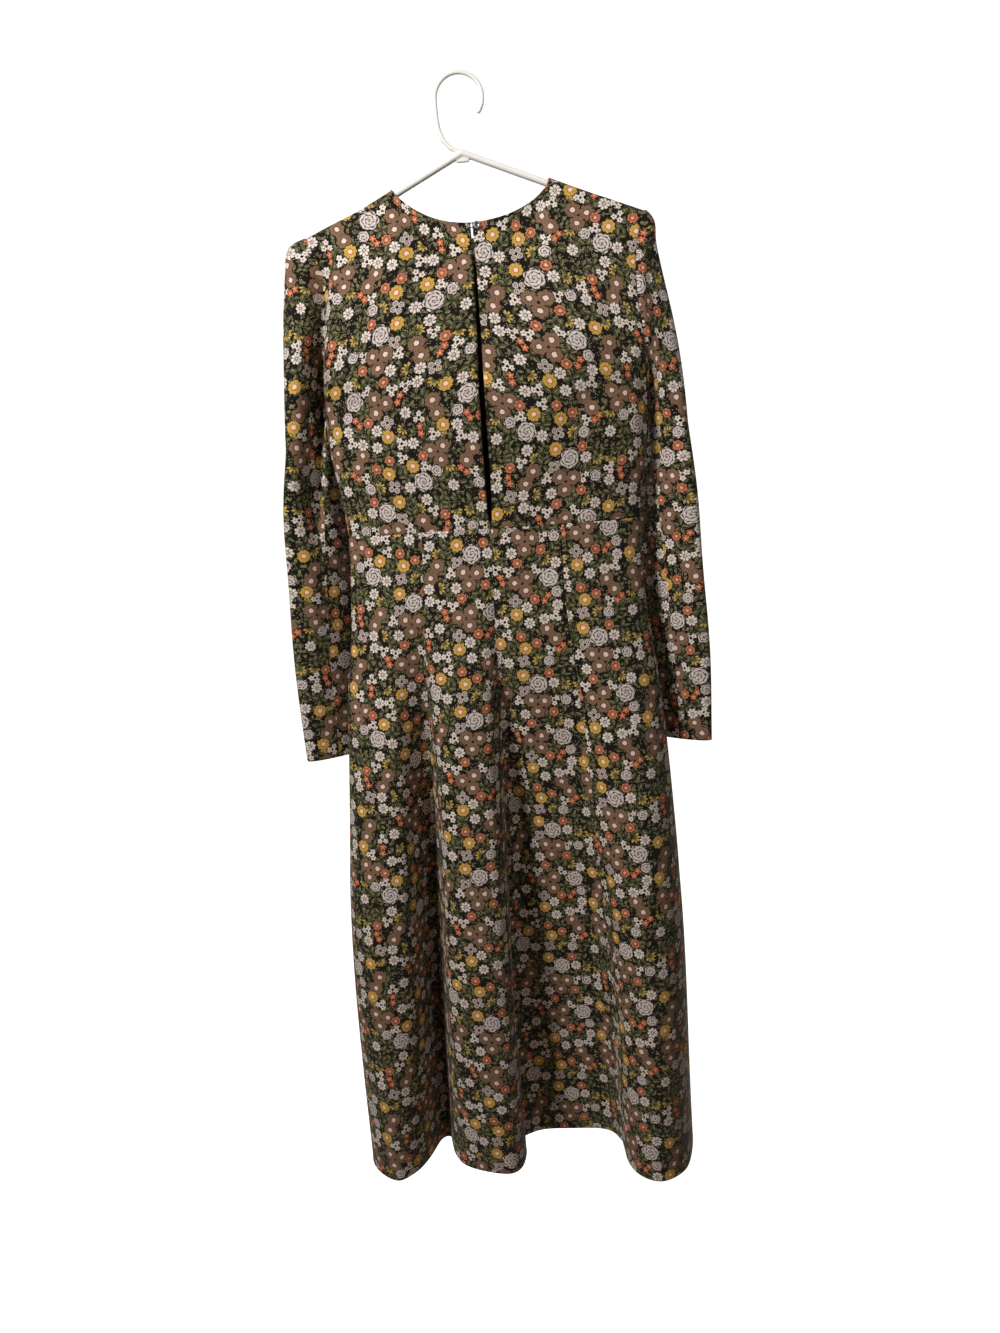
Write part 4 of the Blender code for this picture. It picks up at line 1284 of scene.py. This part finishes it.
SWEEP = (9.0, 7.0, -3.0)    # the backdrop's width, length along the floor and nearest place
SWEEP_TURN = (1.6, 1.2, 0.9)    # where it bends up, over what length, and the bend's radius
SWEEP_RISE = 2.4
LAMP_SIZE = (0.40, 0.50)
LAMPS = (  # power as a share of the key lamp's, place and aim of each
    ("key", 1.0, (-0.98, -1.20, 0.50), (0.0, 0.0, -0.5)),
    ("side", 3.6 / 33.5, (0.62, -0.80, 0.30), (0.10, 0.0, -0.25)),
    ("far", 16.0 / 33.5, (-0.75, 1.15, 0.35), (0.0, 0.0, -0.5)),
)
FILL = 0.05                 # strength of the light from all round
VIEW_ASIDE, VIEW_TILT, VIEW_ROLL = math.radians(4), math.radians(12), math.radians(4.2)
VIEW_AWAY, VIEW_DROP = 1.2, 0.406
PICTURE = (1000, 1333)


def seen_directly(shader):
    """1 for rays that should find a white background: the camera's, and in glass or gloss."""
    seen = shader.node("LightPath")
    glossy = seen.maximum(seen.output("Is Glossy Ray"))
    return glossy.maximum(seen.output("Is Transmission Ray"))


class MAXIDRESS_OT_stage(bpy.types.Operator):
    """Make the pale floor and backdrop, the lamps, the world and the camera"""

    bl_idname = "maxi_dress.stage"
    bl_label = "Stage"

    def execute(self, context):
        settings = context.scene.maxi_dress
        self.add_sweep(settings.floor_drop)
        self.add_world(context)
        for name, share, place, aim in LAMPS:
            lamp = bpy.data.lights.new(name, "AREA")
            lamp.shape, lamp.energy = "RECTANGLE", settings.key * share
            lamp.size, lamp.size_y = LAMP_SIZE
            lamp.color = (1.0, 0.985, 0.96)
            holder = add_object(name, lamp)
            holder.location = place
            holder.visible_camera = False
            towards = Vector(aim) - Vector(place)
            holder.rotation_euler = towards.to_track_quat("-Z", "Y").to_euler()
        self.add_camera(context)
        context.scene.view_settings.view_transform = "Standard"
        return {"FINISHED"}

    def add_sweep(self, floor_drop):
        """Floor that bends up into a backdrop."""
        made, shader = start_material("pale_sweep")
        bright = seen_directly(shader)
        colour = shader.blend(bright, (0.24, 0.17, 0.11, 1.0), (0.8, 0.8, 0.8, 1.0))
        matt = shader.node("BsdfDiffuse", {"Color": colour})
        glow = shader.node("Emission", {"Color": (1, 1, 1, 1), "Strength": bright * 0.94})
        both = shader.node("AddShader", {0: matt, 1: glow})
        shader.node("OutputMaterial", {"Surface": both})
        width, length, nearest = SWEEP
        start, bend_run, radius = SWEEP_TURN
        bm = bmesh.new()
        bmesh.ops.create_grid(bm, x_segments=2, y_segments=40, size=0.5)
        for vert in bm.verts:
            along = (vert.co.y + 0.5) * length + nearest
            lift = min(1.0, max(0.0, (along - start) / bend_run)) * math.pi / 2
            y = min(along, start) + math.sin(lift) * radius
            wall = max(0.0, along - start - bend_run) * SWEEP_RISE
            vert.co = (vert.co.x * width, y, (1 - math.cos(lift)) * radius + wall - floor_drop)
        settle(bm, "sweep", made.name)

    def add_world(self, context):
        """A white surround that lights the dress only faintly and warmly."""
        world = bpy.data.worlds.new("studio")
        context.scene.world = world
        world.use_nodes = True
        world.node_tree.nodes.clear()
        shader = Shader(world.node_tree)
        bright = seen_directly(shader)
        tint = shader.blend(bright, (1.0, 0.80, 0.58, 1.0), (1, 1, 1, 1))
        strength = bright.times_plus(1.0 - FILL, FILL)
        sky = shader.node("Background", {"Color": tint, "Strength": strength})
        shader.node("OutputWorld", {"Surface": sky})

    def add_camera(self, context):
        """Camera behind the dress, a little right of its middle, tilted down and rolled."""
        data = bpy.data.cameras.new("view")
        data.sensor_fit, data.sensor_height = "VERTICAL", 36
        data.lens = 36 * PICTURE[0] / PICTURE[1]
        camera = add_object("view", data)
        aside = Matrix.Rotation(VIEW_ASIDE, 4, "Z")
        camera.matrix_world = (Matrix.Translation((0, 0, -VIEW_DROP)) @ aside
                               @ Matrix.Translation((0, -VIEW_AWAY, 0))
                               @ Matrix.Rotation(math.pi / 2 - VIEW_TILT, 4, "X")
                               @ Matrix.Rotation(-VIEW_ROLL, 4, "Z"))
        context.scene.camera = camera


OPERATORS = (MAXIDRESS_OT_materials, MAXIDRESS_OT_bodice, MAXIDRESS_OT_skirt,
             MAXIDRESS_OT_sleeves, MAXIDRESS_OT_hanger, MAXIDRESS_OT_closures,
             MAXIDRESS_OT_stage)


class MAXIDRESS_PT_panel(bpy.types.Panel):
    """Sizes and builders of the maxi dress"""

    bl_idname = "MAXIDRESS_PT_panel"
    bl_label = "Maxi dress"
    bl_space_type = "VIEW_3D"
    bl_region_type = "UI"
    bl_category = "Maxi dress"

    def draw(self, context):
        for name in CrepeSettings.__annotations__:
            self.layout.prop(context.scene.maxi_dress, name)
        for operator in OPERATORS:
            self.layout.operator(operator.bl_idname)


CLASSES = (CrepeSettings, *OPERATORS, MAXIDRESS_PT_panel)


def register():
    for made in CLASSES:
        bpy.utils.register_class(made)
    bpy.types.Scene.maxi_dress = bpy.props.PointerProperty(type=CrepeSettings)


def unregister():
    del bpy.types.Scene.maxi_dress
    for made in reversed(CLASSES):
        bpy.utils.unregister_class(made)


def main():
    register()
    for operator in OPERATORS:
        area, name = operator.bl_idname.split(".")
        getattr(getattr(bpy.ops, area), name)()


if __name__ == "__main__":
    main()
